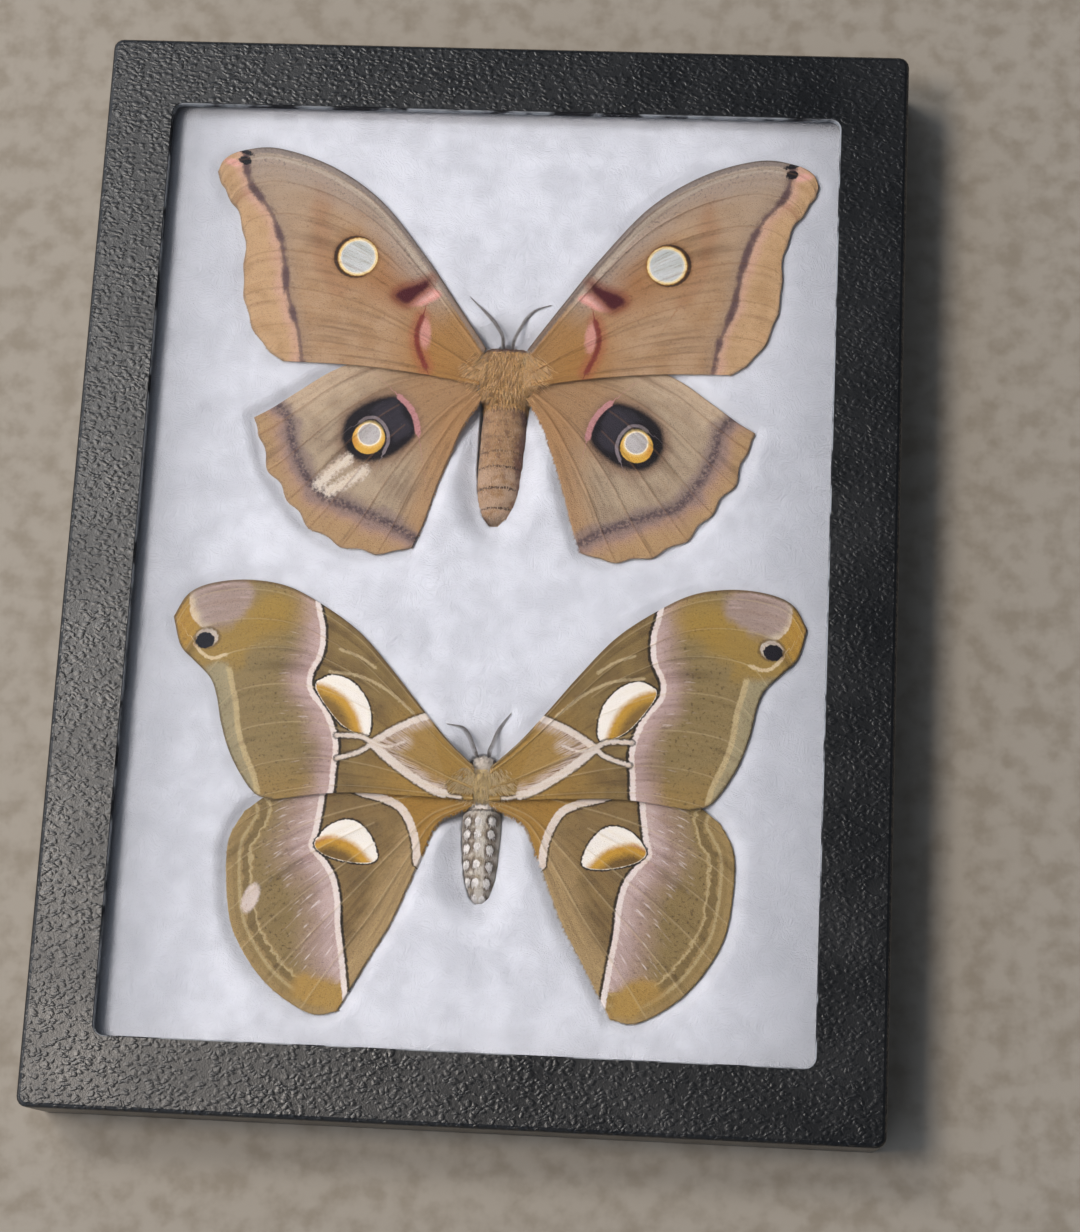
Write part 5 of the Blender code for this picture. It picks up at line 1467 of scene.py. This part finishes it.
def cynthia_body_fields(places):
    """Where a place is on the cynthia body, for its markings."""
    across, forward = to_cynthia(places)
    spot = np.min([np.hypot((across - x) / 0.56, (forward - y) / 0.66) for x, y in CYNTHIA_TUFTS], axis=0)
    return {"forward": forward, "across": across, "spot": spot}


def cynthia_fur_colours(tree, place, grains):
    """White face, olive thorax, white collar, and a spotted grey-white abdomen."""
    ragged, clouds = grains["ragged"], grains["clouds"]
    forward, across = field(tree, "forward"), field(tree, "across")
    spot, aside = field(tree, "spot"), unsigned(tree, across)
    behind_collar = add(tree, "ShaderNodeMath", {0: forward, 1: COLLAR_BACK}, operation="ADD").outputs[0]
    colour = lay_over(tree, paint("#d9bd82"), paint("#c3a66e"), mask_of(tree, clouds, -0.3, 0.9))
    colour = lay_over(tree, colour, paint("#b89a78"), both(tree, mask_of(tree, clouds, -0.2, -1.0),
                                                           mask_of(tree, aside, 1.6, 3.6)))
    abdomen = mask_of(tree, forward, -4.4, -4.9, ragged)
    pale = lay_over(tree, paint("#e2dacb"), paint("#b3a48a"), mask_of(tree, clouds, -0.1, 0.7))
    pale = lay_all(tree, pale, [
        ("#857460", both(tree, mask_of(tree, spot, 3.0, 1.6, ragged), mask_of(tree, aside, 0.6, 1.1))),
        ("#433a30", both(tree, mask_of(tree, spot, 2.0, 1.4, ragged, 0.65), mask_of(tree, aside, 0.9, 1.3))),
        ("#e6e1d8", mask_of(tree, aside, 3.2, 3.9, ragged)),
        ("#fbf7f0", mask_of(tree, spot, 1.35, 1.0, ragged))])
    colour = lay_over(tree, colour, pale, abdomen)
    colour = lay_over(tree, colour, paint("#efe6da"), both(tree, mask_of(tree, forward, -3.2, -3.5, ragged),
                                                           mask_of(tree, forward, -4.7, -4.4, ragged)))
    colour = lay_over(tree, colour, paint("#3f382f"), near(tree, behind_collar, 0.12, 0.2, ragged, 0.8))
    return lay_over(tree, colour, paint("#d6cbbb"), mask_of(tree, forward, 2.7, 3.1, ragged))


cynthia_fur = fur_finish("olive_and_white_moth_fur", cynthia_fur_colours)
CYNTHIA_FORMS = [(3.0, 2.6), (2.4, 3.6), (1.0, 4.2), (-1.0, 4.3), (-2.8, 3.8), (-3.6, 3.2), (-4.6, 3.15),
                 (-5.4, 3.7),
                 (-7.5, 3.9), (-12.0, 3.7), (-16.0, 3.3), (-19.5, 2.6), (-21.5, 1.7), (-22.3, 0.8)]


def turned(form):
    """A form laid out along y, turned and moved to the cynthia moth's place."""
    points, faces = form
    moved = on_cynthia(points[:, :2])
    return np.column_stack([moved, points[:, 2]]), faces


curve = smooth_path(CYNTHIA_FORMS, 90)
rings = []
for forward, radius in curve[::-1]:
    half = max(radius - (0.2 if forward < -4.2 else 0.4), 0.25)
    raised = float(smoothstep(-4.2, -3.0, forward) * smoothstep(3.2, 2.0, forward))
    rings.append((forward, (0.0, BODY_Z + 0.5 + 0.2 * raised), half, half * (1.02 + 0.12 * raised), 2.3))
forms = [turned(make_rings(rings)), turned(ball((0, 4.0, BODY_Z + 2.0), (2.25, 1.75, 2.1))),
         turned(make_rings([(2.0, (0, BODY_Z + 1.2), 1.9, 2.0, 2.0),
                            (4.0, (0, BODY_Z + 1.9), 1.6, 1.7, 2.0)]))]
places, faces = fuse("cynthia_body", forms, cynthia_fur, 0.26, 4)
fields = cynthia_body_fields(places)
fields.update({"along": np.full(len(places), 0.3), "lot": np.full(len(places), 0.5)})
cynthia_skin = make_skin("cynthia_body_skin", places, faces, cynthia_fur, fields, "olive_scales")
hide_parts("cynthia_moth")


def cynthia_flow(roots):
    across, forward = to_cynthia(roots)
    return np.column_stack([across * 0.12, np.where(forward > 3.6, 0.8, -1.0), np.full(len(roots), -0.1)])


def cynthia_length(roots, normals):
    held = cynthia_body_fields(roots)
    length = np.where(held["forward"] > -3.4, 1.1, 0.6)
    length = np.where(held["forward"] > 2.6, 0.6, length)
    return np.where((held["spot"] < 1.0) & (held["forward"] < -5), 0.95, length)


def cynthia_unwrap(places):
    return body_unwrap(places, (CYNTHIA_X, BODY_Z), CYNTHIA_Y + 7, CYNTHIA_Y - 23)


coat_of("cynthia_body_coat", cynthia_skin, 17, 31, None, cynthia_flow, cynthia_length, 0.17, 0.28, 0.12,
        cynthia_body_fields, cynthia_unwrap, cynthia_fur)
for side in (-1, 1):
    across, along = on_cynthia(np.array([[2.05, 4.2]]), side)[0]
    make_skin("cynthia_eye_" + ("left" if side < 0 else "right"),
              *ball((across, along, BODY_Z + 2.3), (0.62, 0.8, 0.9), 24),
              eye_finish, {}, "eye")
for word, side in (("left", -1), ("right", 1)):
    flat_route = on_cynthia(np.array(FEELERS["cynthia_" + word][1], float))
    start = on_cynthia(np.array([[side * 0.9, 4.9]], float))[0]
    places = [(start[0], start[1], 11.6)] + [(x, y, FEELER_HIGH) for x, y in flat_route]
    make_feeler("cynthia_feeler_" + word, places, 0.15, 0.8, 0.2, 0.5, (side,), feeler_finish, "cuticle")

# %% [markdown]
# Hair-scales also fringe the wings' margins. They wear the wing's own colours, from the same fields.

# %% The fringes
def wing_coat(name, wing, side, place, fields_of, material, seed, fringe, rear_fringe):
    """A wing's fringes, as one coat in the wing's own finish."""
    rng = np.random.default_rng(seed)
    shares, ways, lengths, widths = [], [], [], []

    def sow(u, v, toward, length, width, scatter):
        """Tufts at shares of the wing, pointing outward or back as toward says."""
        step = 0.004
        out_way = patch(wing, np.clip(u + step, 0, 1), v) - patch(wing, np.clip(u - step, 0, 1), v)
        back_way = patch(wing, u, np.clip(v + step, 0, 1)) - patch(wing, u, np.clip(v - step, 0, 1))
        way = unit(out_way) * toward[0] + unit(back_way) * toward[1]
        way = way + rng.normal(0, scatter, way.shape)
        shares.append(np.column_stack([u, v]))
        ways.append(unit(way))
        lengths.append(length * rng.uniform(0.65, 1.25, len(u)))
        widths.append(width * rng.uniform(0.75, 1.2, len(u)))

    front, outer, rear = wing["margins"][:3]
    outer_length = np.linalg.norm(np.diff(outer, axis=0), axis=1).sum()
    rear_length = np.linalg.norm(np.diff(rear, axis=0), axis=1).sum()
    count = int(outer_length * 9)
    sow(rng.uniform(0.985, 0.996, count), rng.random(count), (1.0, 0.1), fringe, 0.13, 0.16)
    if rear_fringe:
        count = int(rear_length * 9)
        sow(rng.uniform(0.02, 0.99, count), rng.uniform(0.985, 0.996, count), (0.7, 0.8), rear_fringe, 0.14,
            0.2)
    shares = np.vstack(shares)
    u, v = shares.T
    flat = patch(wing, u, v)
    spread = place(flat, side)
    ways = np.vstack(ways)
    tips = place(flat + ways * 0.1, side) - spread
    roots = np.column_stack([spread, np.full(len(u), wing["low"] + WING_THICKNESS - 0.2)])
    lean = np.column_stack([tips * 10, rng.normal(0.1, 0.05, len(u))])
    held = fields_of(flat)
    held.update({"margin": np.minimum((1 - u) * 60, 30.0), "front": np.abs(distance_to(flat, front)),
                 "rear": np.abs(distance_to(flat, rear)), "vein": np.full(len(u), 9.0), "out": u, "back": v})
    if side > 0:
        for worn in {"rubbed", "bare"} & set(held):
            held[worn] = held[worn] + 20.0
    up = np.tile((0.0, 0.0, 1.0), (len(u), 1))
    return grow_coat(name, roots, unit(lean), up, np.concatenate(lengths), np.concatenate(widths), shares,
                     material,
                     held, -up * 0.12)


for word, side in (("left", -1), ("right", 1)):
    wing_coat("moth_forewing_coat_" + word, forewing, side, on_moth, forewing_fields, forewing_finish,
              41 + side, 0.4, 0.0)
    wing_coat("moth_hindwing_coat_" + word, hindwing, side, on_moth, hindwing_fields, hindwing_finish,
              44 + side, 0.4, 0.7)
    wing_coat("cynthia_forewing_coat_" + word, cynthia_forewing, side, on_cynthia, cynthia_fore_fields,
              cynthia_fore_finish, 47 + side, 0.4, 0.0)
    wing_coat("cynthia_hindwing_coat_" + word, cynthia_hindwing, side, on_cynthia, cynthia_hind_fields,
              cynthia_hind_finish, 50 + side, 0.55, 0.7)

# %% [markdown]
# In the photograph no line shows where the wings join the thorax, because its hair is pressed out over
# them by the pane. A shoulder coat does that here: it is rooted at the wings' bases, thins away from
# the body and has the body's own markings.

# %% Hair over the shoulders
def shoulder_coat(name, place_on, half, front, back, clear, length, fields_of, unwrap, material, seed):
    """Hair rooted round a thorax at the height of the wings' tops, lying out and back."""
    rng = np.random.default_rng(seed)
    count = int(2 * half * (front - back) * 24)
    x, y = rng.uniform(-half, half, count), rng.uniform(back, front, count)
    edge = np.hypot(x / half, (y - (front + back) / 2) / ((front - back) / 2))
    kept = (rng.random(count) < 1 - smoothstep(0.45, 1.0, edge)) & (np.abs(x) > clear)
    x, y = x[kept], y[kept]
    flat_places = place_on(np.column_stack([x, y]))
    on_forewing = smoothstep(-2.6, -1.4, y)
    high = HINDWING_LOW + (FOREWING_LOW - HINDWING_LOW) * on_forewing + 0.42
    roots = np.column_stack([flat_places, high])
    ways = np.column_stack([x / half * 1.25, np.full(len(x), -0.8), np.full(len(x), 0.07)])
    ways = unit(ways + rng.normal(0, 0.14, ways.shape) * (1.0, 1.0, 0.4))
    held = fields_of(roots)
    held["lot"] = rng.uniform(0.45, 1.0, len(x))
    lengths = length * rng.uniform(0.7, 1.2, len(x))
    widths = (0.2 - 0.1 * edge[kept]) * rng.uniform(0.7, 1.2, len(x))
    up = np.tile((0.0, 0.0, 1.0), (len(x), 1))
    return grow_coat(name, roots, ways, up, lengths, widths, unwrap(roots), material, held, -up * 0.06)


shoulder_coat("moth_shoulder_coat", on_moth, 9.4, 6.2, -5.8, 3.5, 2.0, moth_fields, moth_unwrap, moth_fur,
              71)
shoulder_coat("cynthia_shoulder_coat", on_cynthia, 7.4, 4.2, -4.5, 0.9, 1.1, cynthia_body_fields,
              cynthia_unwrap,
              cynthia_fur, 72)

# %% [markdown]
# The photograph was taken by hand from above the case's near end. The camera's place, lens and roll
# were worked out from the four corners of the lid. The light is a bright sky from the upper left, which
# throws a short soft shadow to the right of the case.

# %% Camera, light and floor
CAMERA_PLACE = (44.55, -127.75, 517.61)
CAMERA_AIM = (12.2, -10.1, 19.0)
CAMERA_ROLL = 2.97
CAMERA_LENS = 79.3
camera = bpy.data.objects.new("camera", bpy.data.cameras.new("camera"))
bpy.context.scene.collection.objects.link(camera)
camera.location = Vector(CAMERA_PLACE) * MM
look = (Vector(CAMERA_AIM) - Vector(CAMERA_PLACE)).normalized()
across_view = look.cross(Vector((0, 1, 0))).normalized()
level = Matrix((across_view, across_view.cross(look), -look)).transposed().to_4x4()
roll = Matrix.Rotation(math.radians(CAMERA_ROLL), 4, "Z")
camera.matrix_world = Matrix.Translation(camera.location) @ level @ roll
camera.data.lens = CAMERA_LENS
camera.data.sensor_width = 36.0
camera.data.sensor_fit = "AUTO"
camera.data.clip_start = 0.01
bpy.context.scene.camera = camera


def add_light(name, place, aim, size, watts, colour):
    """A square soft light at a place in millimetres."""
    light = bpy.data.objects.new(name, bpy.data.lights.new(name, "AREA"))
    light.data.size = size * MM
    light.data.energy = watts
    light.data.color = paint(colour)[:3]
    light.location = Vector(place) * MM
    light.rotation_euler = (Vector(aim) - Vector(place)).to_track_quat("-Z", "Y").to_euler()
    bpy.context.scene.collection.objects.link(light)


add_light("window", (-500, 345, 970), (0, 0, 0), 290, 2.5, "#fffaf4")
add_light("doorway", (-435, -65, 935), (0, 0, 0), 250, 2.7, "#fff3e6")
world = bpy.data.worlds.new("pale_room")
bpy.context.scene.world = world
world.use_nodes = True
tree = world.node_tree
direction = add(tree, "ShaderNodeSeparateXYZ", {0: add(tree, "ShaderNodeTexCoord").outputs["Generated"]})
glow = add(tree, "ShaderNodeMapRange", {"Value": direction.outputs["X"], "From Min": -0.09, "From Max": -0.32,
                                        "To Min": 0.11, "To Max": 0.75}, interpolation_type="SMOOTHSTEP")
tree.nodes["Background"].inputs["Color"].default_value = paint("#d2e0f4")
tree.links.new(glow.outputs[0], tree.nodes["Background"].inputs["Strength"])
bpy.context.scene.view_settings.view_transform = "Standard"

floor_finish, tree, shader, place = new_finish("pale_matt_table", 0.7)
speckle = grain(tree, place, 5.0, 1.0, 3.0)
tone = lay_over(tree, paint("#c9bdac"), paint("#b3a592"), mask_of(tree, speckle, -0.5, 0.9))
tree.links.new(tone, shader.inputs["Base Color"])
FLOOR = 2600
corners = [(-FLOOR, -FLOOR, 0), (FLOOR, -FLOOR, 0), (FLOOR, FLOOR, 0), (-FLOOR, FLOOR, 0)]
floor_mesh = bpy.data.meshes.new("floor")
floor_mesh.from_pydata([Vector(corner) * MM for corner in corners], [], [(0, 1, 2, 3)])
floor_mesh.materials.append(floor_finish)
floor = bpy.data.objects.new("floor", floor_mesh)
floor.location.z = -0.2 * MM
bpy.context.scene.collection.objects.link(floor)
print("camera", round(camera.data.lens, 1), "mm lens")
